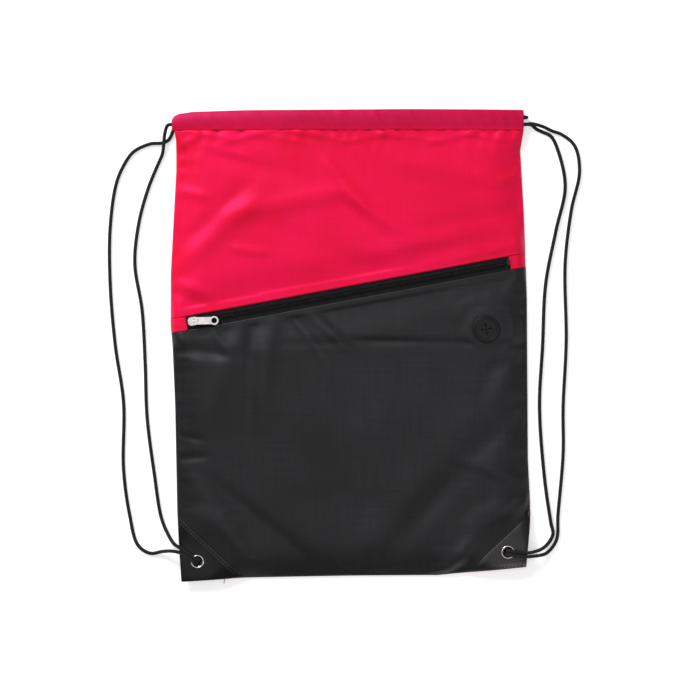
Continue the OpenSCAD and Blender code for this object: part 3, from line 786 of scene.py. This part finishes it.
def seam_pucker(x, y, seed):
    """Small gathers that the side and bottom seams leave in the cloth."""
    left, right, low = x - left_x(y), right_x(y) - x, y - bottom_y(x)
    z = ripples(y, left, 13 * MM, 0.5 * MM, 9 * MM, seed)
    z = z + ripples(y, right, 13 * MM, 0.5 * MM, 9 * MM, seed + 1)
    return z + ripples(x, low, 15 * MM, 0.45 * MM, 8 * MM, seed + 2)


def edge_mask(shape):
    m = np.zeros(shape)
    m[0, :] = m[-1, :] = m[:, 0] = m[:, -1] = 1
    return m


def panel_heights(low, top, nx, ny, table, widen, scale, seed, grow, held):
    """Heights of a front panel: its shape, its folds, and what the cloth simulation adds."""
    x, y = plan(low, top, nx, ny)
    z = front_height(x, y)
    extra = folds(x, y, table, widen, scale) + seam_pucker(x, y, seed)
    extra = extra + 0.25 * MM * noise_field(x, y, seed + 9, 0.09)
    rows, cols = max(10, ny * 2 // 5), max(10, nx * 2 // 5)
    cx, cy = plan(low, top, cols, rows)
    cz = front_height(cx, cy)
    fixed = np.maximum(edge_mask(cx.shape), held(cx, cy))
    moved = simulate(cx, cy, cz, fixed, grow, seed=seed)
    moved = np.clip(soften(moved, 2, fixed), -2.2 * MM, 2.6 * MM)
    extra = extra + 0.55 * soften(resample(moved, ny, nx), 3, edge_mask(x.shape))
    calm = smooth(from_seam(x, y) / (6 * MM)) * smooth((abs(zip_off(x, y)) - 6.5 * MM) / (9 * MM))
    calm = calm * smooth((np.hypot(x - PORT.x, y - PORT.y) - PORT_R) / (12 * MM))
    calm = calm * smooth((from_eyelet(x, y) - 26 * MM) / (22 * MM))
    z = z + extra * calm
    over_tape = (abs(zip_off(x, y)) < 14 * MM) & (abs(x) < 0.162)
    return x, y, np.where(over_tape, np.maximum(z, TAPE_TOP + 0.15 * MM), z)


def front_pocket():
    def held(x, y):
        by_port = np.hypot(x - PORT.x, y - PORT.y) < PORT_R + 2 * MM
        return ((from_eyelet(x, y) < 40 * MM) | by_port).astype(float)

    x, y, z = panel_heights(bottom_y, lambda x: zip_line(x, -ZIP_BELOW), 220, 150, BLACK_FOLDS, 1.2, 0.85,
                            21, 0.012, held)
    gather = ripples(x, zip_line(x, -ZIP_BELOW) - y, 17 * MM, 0.3 * MM, 12 * MM, 77)
    z = z + np.maximum(gather, 0) * smooth(from_seam(x, y) / (12 * MM))
    holes = [(e.x, e.y, 5.8 * MM) for e in EYELETS.values()] + [(PORT.x, PORT.y, 9.0 * MM)]
    o = sheet_object("front_pocket", x, y, z, BLACK_CLOTH, holes=holes)
    finish_piece(o, "bag", ["front_pocket_panel"])
    return o


def front_upper():
    x, y, z = panel_heights(lambda x: zip_line(x, ZIP_ABOVE), lambda x: STITCH_Y + 0 * x, 220, 100,
                            RED_FOLDS, 1.2, 0.9, 41, 0.014, lambda x, y: np.zeros_like(x))
    gather = ripples(x + 0.3 * (STITCH_Y - y), STITCH_Y - y, 17 * MM, 0.55 * MM, 11 * MM, 88)
    z = z + gather * smooth(from_seam(x, y) / (8 * MM))
    o = sheet_object("front_upper", x, y, z, RED_CLOTH)
    finish_piece(o, "bag", ["front_upper_panel"])
    return o


def back():
    x, y = plan(bottom_y, lambda x: STITCH_Y + 0 * x, 150, 190)
    inside = smooth(from_seam(x, y) / (20 * MM)) * smooth((STITCH_Y - y) / (20 * MM))
    sag = 0.16 * MM * (1 + noise_field(x, y, 5, 0.07)) * inside
    z = lift(x, y) + 0.12 * MM + np.maximum(0, sag)
    z = z + np.maximum(0, ripples(x, STITCH_Y - y, 12 * MM, 0.35 * MM, 14 * MM, 61))
    holes = [(e.x, e.y, 5.8 * MM) for e in EYELETS.values()]
    o = sheet_object("back", x, y, z, RED_CLOTH, holes=holes)
    finish_piece(o, "bag", ["back_panel"])
    return o


def lining():
    x, y = plan(bottom_y, lambda x: zip_line(x, 11 * MM), 120, 110)
    z = lining_height(x, y) + 0.5 * MM * noise_field(x, y, 8, 0.08) * smooth(from_seam(x, y) / (30 * MM)) \
        * smooth((-zip_off(x, y) - 12 * MM) / (20 * MM))
    holes = [(e.x, e.y, 5.8 * MM) for e in EYELETS.values()]
    o = sheet_object("lining", x, y, z, LINING_CLOTH, thick=0.25 * MM, holes=holes)
    finish_piece(o, "bag", ["pocket_lining"])
    return o


def tunnel(name, mid, node, seed, facing):
    """A folded hem, as one open tube of cloth with a gathered skin."""
    stations = np.linspace(-0.1735, 0.168, 230)
    sides = 28
    verts = []
    for x in stations:
        y0, y1 = STITCH_Y - 0.2 * MM, along(TUNNEL_TOP, x)
        cy, ry = (y0 + y1) / 2, (y1 - y0) / 2
        for k in range(sides):
            a = 2 * math.pi * k / sides
            across = math.cos(a)
            arch = (1 - abs(across) ** 2.4) * math.copysign(1, math.sin(a))
            verts.append((x, cy + ry * across, mid(x) + 2.15 * MM * arch))
    v = np.array(verts)
    top = np.sign(v[:, 2] - np.repeat([mid(x) for x in stations], sides))
    up = v[:, 1] - STITCH_Y
    pucker = ripples(v[:, 0] + 0.5 * up, up + 1.2 * MM, 15 * MM, 0.7 * MM, 10 * MM, seed)
    pucker += ripples(v[:, 0], MOUTH_Y - v[:, 1] + 1.2 * MM, 34 * MM, 0.5 * MM, 12 * MM, seed + 3)
    outward = np.where(top * facing > 0, 1.0, 0.15)
    v[:, 2] += top * np.maximum(pucker, -0.1 * MM) * outward
    v[:, 2] = np.maximum(v[:, 2], 0.35 * MM)
    n = len(stations)
    i, j = np.meshgrid(np.arange(n - 1), np.arange(sides), indexing="ij")
    k = (j + 1) % sides
    faces = np.stack([(i * sides + j).ravel(), (i * sides + k).ravel(), ((i + 1) * sides + k).ravel(),
                      ((i + 1) * sides + j).ravel()], 1)
    # The hem's cloth is the darker red of painted shade from the cord inside.
    o = new_object(name, v, faces[:, ::-1], HEM_PAINTED_SHADE_CLOTH)
    thicken(o, 0.3 * MM, offset=-1)
    finish_piece(o, "bag", [node])
    return o


pocket = front_pocket()
upper = front_upper()
back()
lining()
front_hem = tunnel("front_hem", tunnel_mid, "front_drawstring_tunnel", 71, 1)
back_hem = tunnel("back_hem", lambda x: 2.25 * MM, "back_drawstring_tunnel", 73, -1)

# ---------------------------------------------------------------- corner patches


PATCH_HOLE_R = 4.4 * MM


def corner_patch(name, side, under, node, outward):
    """Triangle of coated cloth over a bottom corner, on a skewed grid that closes at its point."""
    if side == "left":
        corner, high, low = (-.1643, -.2288), (-.1666, -.165), (-.1023, -.2245)
    else:
        corner, high, low = (.1703, -.2144), (.1744, -.1632), (.1149, -.2188)
    n = 60
    verts, index = [], {}
    for i in range(n + 1):
        for j in range(n + 1 - i):
            s, t = i / n, j / n
            x = corner[0] + (high[0] - corner[0]) * s + (low[0] - corner[0]) * t
            y = corner[1] + (high[1] - corner[1]) * s + (low[1] - corner[1]) * t
            x = max(x, left_x(y) + 0.1 * MM) if side == "left" else min(x, right_x(y) - 0.1 * MM)
            y = max(y, bottom_y(x) + 0.1 * MM)
            index[i, j] = len(verts)
            verts.append((x, y, 1 - s - t))
    p = np.array(verts)
    from_long_edge = p[:, 2]
    p = p[:, :2]
    z = under(p[:, 0], p[:, 1]) - outward * 0.7 * MM * smooth(1 - from_long_edge / 0.11)
    faces = []
    for (i, j), a in index.items():
        if (i + 1, j) in index and (i, j + 1) in index:
            faces.append((a, index[i, j + 1], index[i + 1, j]))
        if (i + 1, j + 1) in index:
            faces.append((index[i + 1, j], index[i, j + 1], index[i + 1, j + 1]))
    e = EYELETS[side]
    tri = p[np.array(faces)].mean(1)
    keep = np.hypot(tri[:, 0] - e.x, tri[:, 1] - e.y) > PATCH_HOLE_R
    # The right patches take the vinyl with the painted sheen highlight.
    o = new_object(name, np.column_stack([p, z]), np.array(faces)[keep],
                   PAINTED_SHEEN_VINYL if side == "right" else VINYL)
    bm = bmesh.new()
    bm.from_mesh(o.data)
    bmesh.ops.delete(bm, geom=[v for v in bm.verts if not v.link_faces], context="VERTS")
    bmesh.ops.recalc_face_normals(bm, faces=bm.faces)
    if sum(f.normal.z for f in bm.faces) * outward < 0:
        bmesh.ops.reverse_faces(bm, faces=bm.faces)
    bm.to_mesh(o.data)
    bm.free()
    thicken(o, 0.35 * MM)
    finish_piece(o, "bag", [node])
    return o


def front_patch_under(x, y):
    bend = 0.35 * MM * noise_field(x, y, 33, 0.03) * smooth((from_eyelet(x, y) - 8 * MM) / (12 * MM))
    return front_height(x, y) + 0.8 * MM + np.maximum(bend, -0.1 * MM)


patches = {}
for side in ("left", "right"):
    patches[side] = corner_patch(f"patch_front_{side}", side, front_patch_under,
                                 f"corner_patch_front_{side}", 1)
    corner_patch(f"patch_back_{side}", side, lambda x, y: lift(x, y) - 0.1 * MM,
                 f"corner_patch_back_{side}", -1)

# ---------------------------------------------------------------- eyelets, port


def eyelet(side):
    e = EYELETS[side]
    low, high = eyelet_boxes[side]
    z, base = high.z - 0.7 * MM, low.z
    hole, outer = 4.0 * MM, FLANGE_R
    profile = [(hole, base), (hole, z - 0.8 * MM), (hole + 0.2 * MM, z - 0.2 * MM),
               (hole + 0.7 * MM, z + 0.3 * MM)]
    for k in range(9):
        a = math.radians(140 * (1 - k / 8))
        profile.append((outer - 0.75 * MM + 0.75 * MM * math.cos(a), z + 0.1 * MM + 0.7 * MM * math.sin(a)))
    profile += [(outer, z), (hole + 0.5 * MM, z), (hole + 0.5 * MM, base)]
    o = lathe(f"eyelet_{side}", profile, e, NICKEL)
    finish_piece(o, "bag", [f"eyelet_{side}_ring"])
    low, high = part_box(f"eyelet_{side}_washer")
    outer = (high.x - low.x) / 2
    inner = hole + 0.55 * MM
    profile = [(inner, low.z), (inner, high.z), (outer, high.z), (outer, low.z + 0.25 * MM),
               (outer - 0.4 * MM, low.z)]
    o = lathe(f"washer_{side}", profile, e, NICKEL)
    finish_piece(o, "bag", [f"eyelet_{side}_washer"])


for side in ("left", "right"):
    eyelet(side)


def port_ribs():
    """Raised rings moulded on the port's flange."""
    for name, r, half, height in (("port_rim_outer", PORT_R - 1.1 * MM, 0.8 * MM, 0.7 * MM),
                                  ("port_rim_inner", PORT_R - 3.1 * MM, 0.5 * MM, 0.45 * MM)):
        profile = [(r + half * math.cos(a), port_high.z - 0.25 * MM + height * math.sin(a))
                   for a in np.linspace(math.pi, 0, 9)]
        profile += [(r + half, port_high.z - 0.5 * MM), (r - half, port_high.z - 0.5 * MM)]
        finish_piece(lathe(name, profile, PORT, RUBBER), "bag")


port_ribs()
for name in ["port_ring"] + [f"port_flap_{i}" for i in (1, 2, 3, 4)]:
    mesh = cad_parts[name].data
    mesh.materials.clear()
    mesh.materials.append(RUBBER)

# ---------------------------------------------------------------- zip


def bevelled_copy(node, body, mat, width, name):
    """The CAD piece with its edges rounded, as a cast or pressed part has."""
    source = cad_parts[node].data
    o = bpy.data.objects.new(name, source.copy())
    bpy.context.scene.collection.objects.link(o)
    bm = bmesh.new()
    bm.from_mesh(o.data)
    bmesh.ops.remove_doubles(bm, verts=bm.verts, dist=1e-6)
    bmesh.ops.dissolve_limit(bm, angle_limit=math.radians(1), verts=bm.verts, edges=bm.edges)
    bm.to_mesh(o.data)
    bm.free()
    o.data.materials.clear()
    o.data.materials.append(mat)
    m = o.modifiers.new("bevel", "BEVEL")
    m.width = width
    m.segments = 3
    m.limit_method = "ANGLE"
    m.angle_limit = math.radians(35)
    apply_modifiers(o)
    o.data.polygons.foreach_set("use_smooth", [False] * len(o.data.polygons))
    finish_piece(o, body, [node])
    return o


bevelled_copy("zip_slider", "slider", NICKEL, 0.22 * MM, "slider_body")
bevelled_copy("zip_pull_tab", "pull_tab", NICKEL, 0.22 * MM, "pull_tab_plate")
for name in ("zip_top_stops", "zip_bottom_stop"):
    bevelled_copy(name, "bag", COIL, 0.25 * MM, name + "_moulded")
for name in ("zip_tape_upper", "zip_tape_lower"):
    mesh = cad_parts[name].data
    mesh.materials.clear()
    mesh.materials.append(TAPE)


def coil(name, side, node):
    """One side of the nylon coil: a flattened helix whose loops reach between the other side's."""
    pitch = 1.3 * MM
    start, end = ZIP_FROM + 1.7 * MM, ZIP_TO - 3.0 * MM
    turns = int((end - start) / pitch) - 1
    steps = 14
    t = np.arange(turns * steps) / steps
    a = 2 * math.pi * t
    run = start + (t + (0.5 if side < 0 else 0.0)) * pitch
    reach = 1.35 * MM
    off = side * (1.5 * MM - reach * np.cos(a))
    z = TAPE_TOP + 1.0 * MM + 0.62 * MM * np.sin(a)
    x, y = zip_place(run, off)
    o = tube(name, np.column_stack([x, y, z]), 0.33 * MM, 6, COIL)
    finish_piece(o, "bag", [node])


coil("coil_upper", 1, "zip_coil_upper")
coil("coil_lower", -1, "zip_coil_lower")


def end_tab(name, run, side, node):
    """Folded scrap of red cloth over a zip end: its inner edge is a rolled fold."""
    rows, cols = 24, 30
    verts = np.zeros((rows, cols, 3))
    for i, off in enumerate(np.linspace(-ZIP_BELOW + 0.1 * MM, ZIP_ABOVE - 0.4 * MM, rows)):
        inner = zip_place(run, off)
        y = zip_line(side * 0.172, off)
        outer = (left_x(y) if side < 0 else right_x(y), y)
        t = np.linspace(0, 1, cols)
        x, y = outer[0] + (inner[0] - outer[0]) * t, outer[1] + (inner[1] - outer[1]) * t
        z = front_height(x, y)
        z = z + 0.7 * MM * smooth((t - 0.8) / 0.12) * (1 - 0.35 * smooth((t - 0.95) / 0.05))
        z = z + 0.08 * MM * np.sin(i * 0.5 + t * 5) * smooth((1 - t) * 4) * smooth(t * 5)
        verts[i] = np.column_stack([x, y, z])
    o = sheet_object(name, verts[..., 0], verts[..., 1], verts[..., 2], RED_CLOTH, thick=0.5 * MM)
    finish_piece(o, "bag", [node])
    return o


tabs = [end_tab("end_tab_left", ZIP_FROM, -1, "zip_end_tab_left"),
        end_tab("end_tab_right", ZIP_TO, 1, "zip_end_tab_right")]

# ---------------------------------------------------------------- stitches and seams


def surface_of(*objects):
    """Finds the top of these pieces below a place."""
    trees = []
    for o in objects:
        verts = [o.matrix_world @ v.co for v in o.data.vertices]
        trees.append(BVHTree.FromPolygons(verts, [tuple(p.vertices) for p in o.data.polygons]))

    def find(x, y, up=1):
        best = None
        for tree in trees:
            hit = tree.ray_cast(Vector((x, y, 0.05 * up)), Vector((0, 0, -up)))
            if hit[0] is not None and (best is None or hit[0].z * up > best * up):
                best = hit[0].z
        return best

    return find


def stitches(name, lines, surface, mat, length=2.6 * MM, gap=0.7 * MM, r=0.2 * MM, up=1, lift_by=0.0):
    """Rows of topstitching: short threads that dive into the cloth at both ends."""
    verts, faces = [], []
    arc = [(-1.0, -0.9), (-0.72, 0.35), (-0.3, 0.8), (0.3, 0.8), (0.72, 0.35), (1.0, -0.9)]
    around = [(math.cos(a), math.sin(a)) for a in np.linspace(0, 2 * math.pi, 6, endpoint=False)]
    for line in lines:
        line = np.asarray(line, float)
        run = np.concatenate([[0], np.cumsum(np.hypot(*np.diff(line, axis=0).T))])
        for k in range(int(run[-1] / (length + gap))):
            mid = (k + 0.5) * (length + gap)
            x, y = np.interp(mid, run, line[:, 0]), np.interp(mid, run, line[:, 1])
            x1, y1 = np.interp(mid + 0.1 * MM, run, line[:, 0]), np.interp(mid + 0.1 * MM, run, line[:, 1])
            d = np.array([x1 - x, y1 - y])
            d /= max(1e-9, np.hypot(*d))
            ends = [surface(x + s * d[0] * length / 2, y + s * d[1] * length / 2, up) for s in (-1, 1)]
            z = surface(x, y, up)
            if z is None or None in ends:
                continue
            base = len(verts)
            for s, h in arc:
                zz = z + (ends[1] - ends[0]) / 2 * s + up * (h * r + lift_by)
                thick = r * (0.55 if abs(s) == 1 else 1.0)
                for c, w in around:
                    verts.append((x + d[0] * s * length / 2 - d[1] * c * thick,
                                  y + d[1] * s * length / 2 + d[0] * c * thick, zz + w * thick))
            for q in range(len(arc) - 1):
                for w in range(6):
                    a, b = base + q * 6 + w, base + q * 6 + (w + 1) % 6
                    faces.append((a, b, b + 6, a + 6))
            faces.append(tuple(base + w for w in range(5, -1, -1)))
            faces.append(tuple(base + (len(arc) - 1) * 6 + w for w in range(6)))
    o = new_object(name, verts, faces, mat)
    return finish_piece(o, "bag")


def straight(x0, y0, x1, y1, n=120):
    return np.column_stack([np.linspace(x0, x1, n), np.linspace(y0, y1, n)])


def hem_stitches():
    front = surface_of(upper, front_hem)
    line = straight(-0.169, STITCH_Y + 1.4 * MM, 0.1665, STITCH_Y + 1.4 * MM)
    stitches("hem_stitches", [line], front, RED_THREAD)


def zip_stitches():
    surface = surface_of(upper, pocket, *tabs)
    for name, off, mat in (("zip_stitches_upper", ZIP_ABOVE + 1.3 * MM, RED_THREAD),
                           ("zip_stitches_lower", -ZIP_BELOW - 1.3 * MM, BLACK_THREAD)):
        line = np.array([zip_place(t, off) for t in np.linspace(ZIP_FROM - 6 * MM, ZIP_TO + 6 * MM, 120)])
        stitches(name, [line], surface, mat)
    lines = [[zip_place(ZIP_FROM - 2.4 * MM, o) for o in (-ZIP_BELOW + 1 * MM, ZIP_ABOVE - 1 * MM)],
             [zip_place(ZIP_TO + 2.4 * MM, o) for o in (-ZIP_BELOW + 1 * MM, ZIP_ABOVE - 1 * MM)]]
    stitches("tab_stitches", lines, surface, RED_THREAD)


def patch_stitches():
    surface = surface_of(*patches.values())
    left = [straight(-.1655, -.1685, -.1060, -.2237), straight(-.1655, -.1722, -.1100, -.2237)]
    stitches("patch_stitches_left", left, surface, GREY_THREAD, r=0.24 * MM)
    right = [straight(.1723, -.1690, .1690, -.2125), straight(.1678, -.2126, .1200, -.2172)]
    stitches("patch_stitches_right", right, surface, BLACK_THREAD, gap=1.1 * MM, r=0.34 * MM)


def port_stitches():
    ring = [(PORT.x + (PORT_R + 1.0 * MM) * math.cos(a), PORT.y + (PORT_R + 1.0 * MM) * math.sin(a))
            for a in np.linspace(0, 2 * math.pi, 90)]
    stitches("port_stitches", [ring], surface_of(pocket), BLACK_THREAD, length=2.0 * MM)


hem_stitches()
zip_stitches()
patch_stitches()
port_stitches()


def overlock(name, line, inward, node):
    """Seam allowance whipped with thread: a soft ribbon with a row of loops round its edge."""
    line = np.asarray(line, float)
    run = np.concatenate([[0], np.cumsum(np.hypot(*np.diff(line, axis=0).T))])
    count = int(run[-1] / (1.1 * MM))
    verts, faces = [], []
    for k in range(count + 1):
        s = run[-1] * k / count
        x, y = np.interp(s, run, line[:, 0]), np.interp(s, run, line[:, 1])
        wave = 0.45 * MM * (k % 2)
        for w in (0.1 * MM, 1.6 * MM, 3.2 * MM, 4.4 * MM + wave):
            px, py = x + inward[0] * w, y + inward[1] * w
            h = 0.08 * MM * (k % 2)
            z = float(lift(np.array(px), np.array(py)))
            verts.append((px, py, z + 0.72 * MM + h))
    for k in range(count):
        for w in range(3):
            a = k * 4 + w
            faces.append((a, a + 1, a + 5, a + 4))
    o = new_object(name, verts, faces, BLACK_THREAD)
    thicken(o, 0.35 * MM)
    finish_piece(o, "bag", [node])


side_y = np.linspace(-0.226, 0.195, 60)
overlock("overlock_left", np.column_stack([left_x(side_y), side_y]), (1, 0), "side_seam_left")
side_y = np.linspace(-0.212, 0.195, 60)
overlock("overlock_right", np.column_stack([right_x(side_y), side_y]), (-1, 0), "side_seam_right")
base_x = np.linspace(-0.158, 0.165, 60)
overlock("overlock_bottom", np.column_stack([base_x, bottom_y(base_x)]), (0, 1), "bottom_seam")

# ---------------------------------------------------------------- cords

LEFT_OUTER = metres([
    (-175, 203.5, 2.2), (-177.5, 200, 1.8), (-183, 197.5, 1.5), (-195, 196.5, 1.5), (-211, 189, 1.5),
    (-220, 177, 1.5), (-228, 158, 1.5), (-234, 115, 1.5), (-234, 60, 1.5), (-229, 0, 1.5),
    (-221, -55, 1.5), (-221, -120, 1.5), (-215, -165, 1.5), (-207, -194, 1.5), (-195, -202, 1.5),
    (-183, -200, 5), (-173, -199, 11.6),
])
LEFT_INNER = metres([
    (-177.5, 214, 7.2), (-180.5, 206, 5.6), (-181.5, 197, 5), (-183, 187, 2.5), (-187.5, 176.5, 1.5),
    (-197, 153, 1.5), (-206, 120, 1.5), (-210, 80, 1.5), (-203, 35, 1.5), (-200, -15, 1.5),
    (-198, -70, 1.5), (-191, -125, 1.5), (-184, -168, 1.5), (-177, -184, 5), (-171, -192, 11),
])
RIGHT_OUTER = metres([
    (176, 215.5, 7.6), (187, 213, 5.2), (196, 209, 3.5), (205, 206, 1.5), (218, 195, 1.5),
    (223, 170, 1.5), (215, 132, 1.5), (209, 80, 1.5), (210, 5, 1.5), (207, -60, 1.5), (207, -105, 1.5),
    (202, -165, 1.5), (200.5, -189, 1.5), (191, -201.5, 3), (177, -204, 10.8),
])
RIGHT_INNER = metres([
    (176, 215, 2.2), (181, 211, 1.8), (187, 208, 1.5), (195, 204, 1.5), (202, 190, 1.5),
    (209, 155, 1.5), (200, 112, 1.5), (190, 60, 1.5), (187, 0, 1.5), (184, -60, 1.5), (189, -130, 1.5),
    (195, -172, 1.5), (197, -184, 1.5), (189, -195.5, 4), (177, -200, 10.8),
])
LEFT_OUTER_LEAD = metres([
    (-165, -200.5, 12.6), (-157.5, -205, 14.6), (-151.2, -209.4, 14.7), (-149.3, -210.5, 12),
    (-149.3, -210.5, 7.3),
])
LEFT_INNER_LEAD = metres([
    (-165, -196, 12.6), (-156, -202, 14.6), (-149.4, -206.6, 14.7), (-147.5, -207.7, 12),
    (-147.5, -207.7, 7.3),
])
RIGHT_OUTER_LEAD = metres([
    (169.5, -204.2, 12.8), (160, -203.2, 14.8), (154.4, -202, 14.7), (152.4, -201.8, 12),
    (152.4, -201.8, 7.3),
])
RIGHT_INNER_LEAD = metres([
    (169.5, -200.6, 12.8), (160, -199.8, 14.8), (154.4, -198.5, 14.7), (152.4, -198.3, 12),
    (152.4, -198.3, 7.3),
])
BACK_RUN_Z = 0.0022
LEFT_RUN_Y = 0.222
RIGHT_RUN_Y = 0.215
LANE_STOPS = [-.16, -.12, -.06, 0, .06, .12, .16]


def back_run(y, xs):
    return [(x, y, BACK_RUN_Z) for x in xs]


def front_run(y, xs):
    return [(x, y, float(tunnel_mid(x))) for x in xs]


LEFT_FAR_TURN = [(.167, LEFT_RUN_Y, BACK_RUN_Z), (.170, LEFT_RUN_Y, .0028), (.1714, LEFT_RUN_Y, .0049),
                 (.170, LEFT_RUN_Y, .0068), (.167, LEFT_RUN_Y, .0076)]
RIGHT_FAR_TURN = [(-.1634, RIGHT_RUN_Y, .0032), (-.1648, RIGHT_RUN_Y, .0052),
                  (-.1634, RIGHT_RUN_Y, .0072)]
LEFT_TUNNELS = ([(-.171, .2135, BACK_RUN_Z), (-.167, .2185, BACK_RUN_Z)] + back_run(LEFT_RUN_Y, LANE_STOPS)
                + LEFT_FAR_TURN + front_run(LEFT_RUN_Y, LANE_STOPS[::-1])
                + [(-.167, .2195, .0076), (-.171, .2155, .0071)])
RIGHT_TUNNELS = ([(.1675, RIGHT_RUN_Y, BACK_RUN_Z)] + back_run(RIGHT_RUN_Y, LANE_STOPS[::-1])
                 + RIGHT_FAR_TURN + front_run(RIGHT_RUN_Y, LANE_STOPS) + [(.1675, RIGHT_RUN_Y, .0075)])


def braid(angle, run):
    """Lobes of a round braid: eight carriers each way, one over the other in turn."""
    climb = 2 * math.pi * run / (7.5 * MM)
    one = np.cos(4 * (angle + climb))
    other = np.cos(4 * (angle - climb))
    return 0.11 * MM * np.maximum(one, other) - 0.03 * MM


def cord(name, outer, inner, outer_lead, inner_lead, tunnels, side):
    """One cord from its knot through the strap, both tunnels and the strap again, back to the knot."""
    points = outer_lead[::-1] + outer[::-1] + tunnels + inner + inner_lead
    path = spline(points, 0.6 * MM)
    path[:, 2] = np.maximum(path[:, 2], CORD_R + 0.12 * MM)
    o = tube(name, path, CORD_R, 12, CORD, relief=braid)
    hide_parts(f"{side}_strand_outer", f"{side}_strand_inner", f"{side}_cord_leads",
                f"{side}_cord_tunnel_run")
    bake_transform(o)
    return o


def knot(side):
    """Overhand knot: a closed three-lobed turn of cord, with two cut ends beside it."""
    e = EYELETS[side]
    middle = KNOT_TOP / 2
    t = np.linspace(0, 2 * math.pi, 160)
    x = (np.sin(t) + 2 * np.sin(2 * t)) * 1.32 * MM
    y = (np.cos(t) - 2 * np.cos(2 * t)) * 1.32 * MM
    z = -np.sin(3 * t) * 1.75 * MM
    turns = np.column_stack([e.x + x, e.y + y, middle + z])
    o = tube(f"knot_{side}", turns, 1.55 * MM, 12, CORD, relief=braid)
    finish_piece(o, "bag", [f"{side}_cord_knot"])
    for k, turn in enumerate((0.6, 2.3)):
        inward = 1 if side == "left" else -1
        s = np.linspace(0, 1, 30)
        cx = e.x + inward * (3 + 13 * s) * MM * math.cos(turn - 1.2)
        cy = e.y + (2 + 12 * s) * MM * math.sin(turn - 0.2)
        cz = (3.2 - 1.5 * s) * MM
        path = np.column_stack([cx, cy, cz])
        end = tube(f"cord_end_{side}_{k + 1}", path, 1.45 * MM, 12, CORD, relief=braid)
        finish_piece(end, "bag")


knot("left")
knot("right")


cord("left_cord", LEFT_OUTER, LEFT_INNER, LEFT_OUTER_LEAD, LEFT_INNER_LEAD, LEFT_TUNNELS, "left")
cord("right_cord", RIGHT_OUTER, RIGHT_INNER, RIGHT_OUTER_LEAD, RIGHT_INNER_LEAD, RIGHT_TUNNELS, "right")


def seam_tip():
    """End of the seam binding, folded back over the top of the right corner patch."""
    u, v = np.meshgrid(np.linspace(0, 1, 8), np.linspace(0, 1, 12))
    x = 0.1722 + 0.0024 * u
    y = -0.1655 + 0.0042 * v + 0.0012 * u
    z = front_height(x, y) + 1.5 * MM + 0.3 * MM * np.sin(math.pi * v)
    finish_piece(sheet_object("seam_tip", x, y, z, GREY_THREAD), "bag")


def loose_thread():
    s = np.linspace(0, 1, 24)
    x = -0.1240 + 0.0016 * s + 0.0008 * np.sin(5 * s)
    y = -0.2255 - 0.0062 * s
    z = 0.0022 * (1 - s) + 0.0004
    o = tube("loose_thread", np.column_stack([x, y, z]), 0.28 * MM, 6, BLACK_THREAD)
    finish_piece(o, "bag")


seam_tip()
loose_thread()
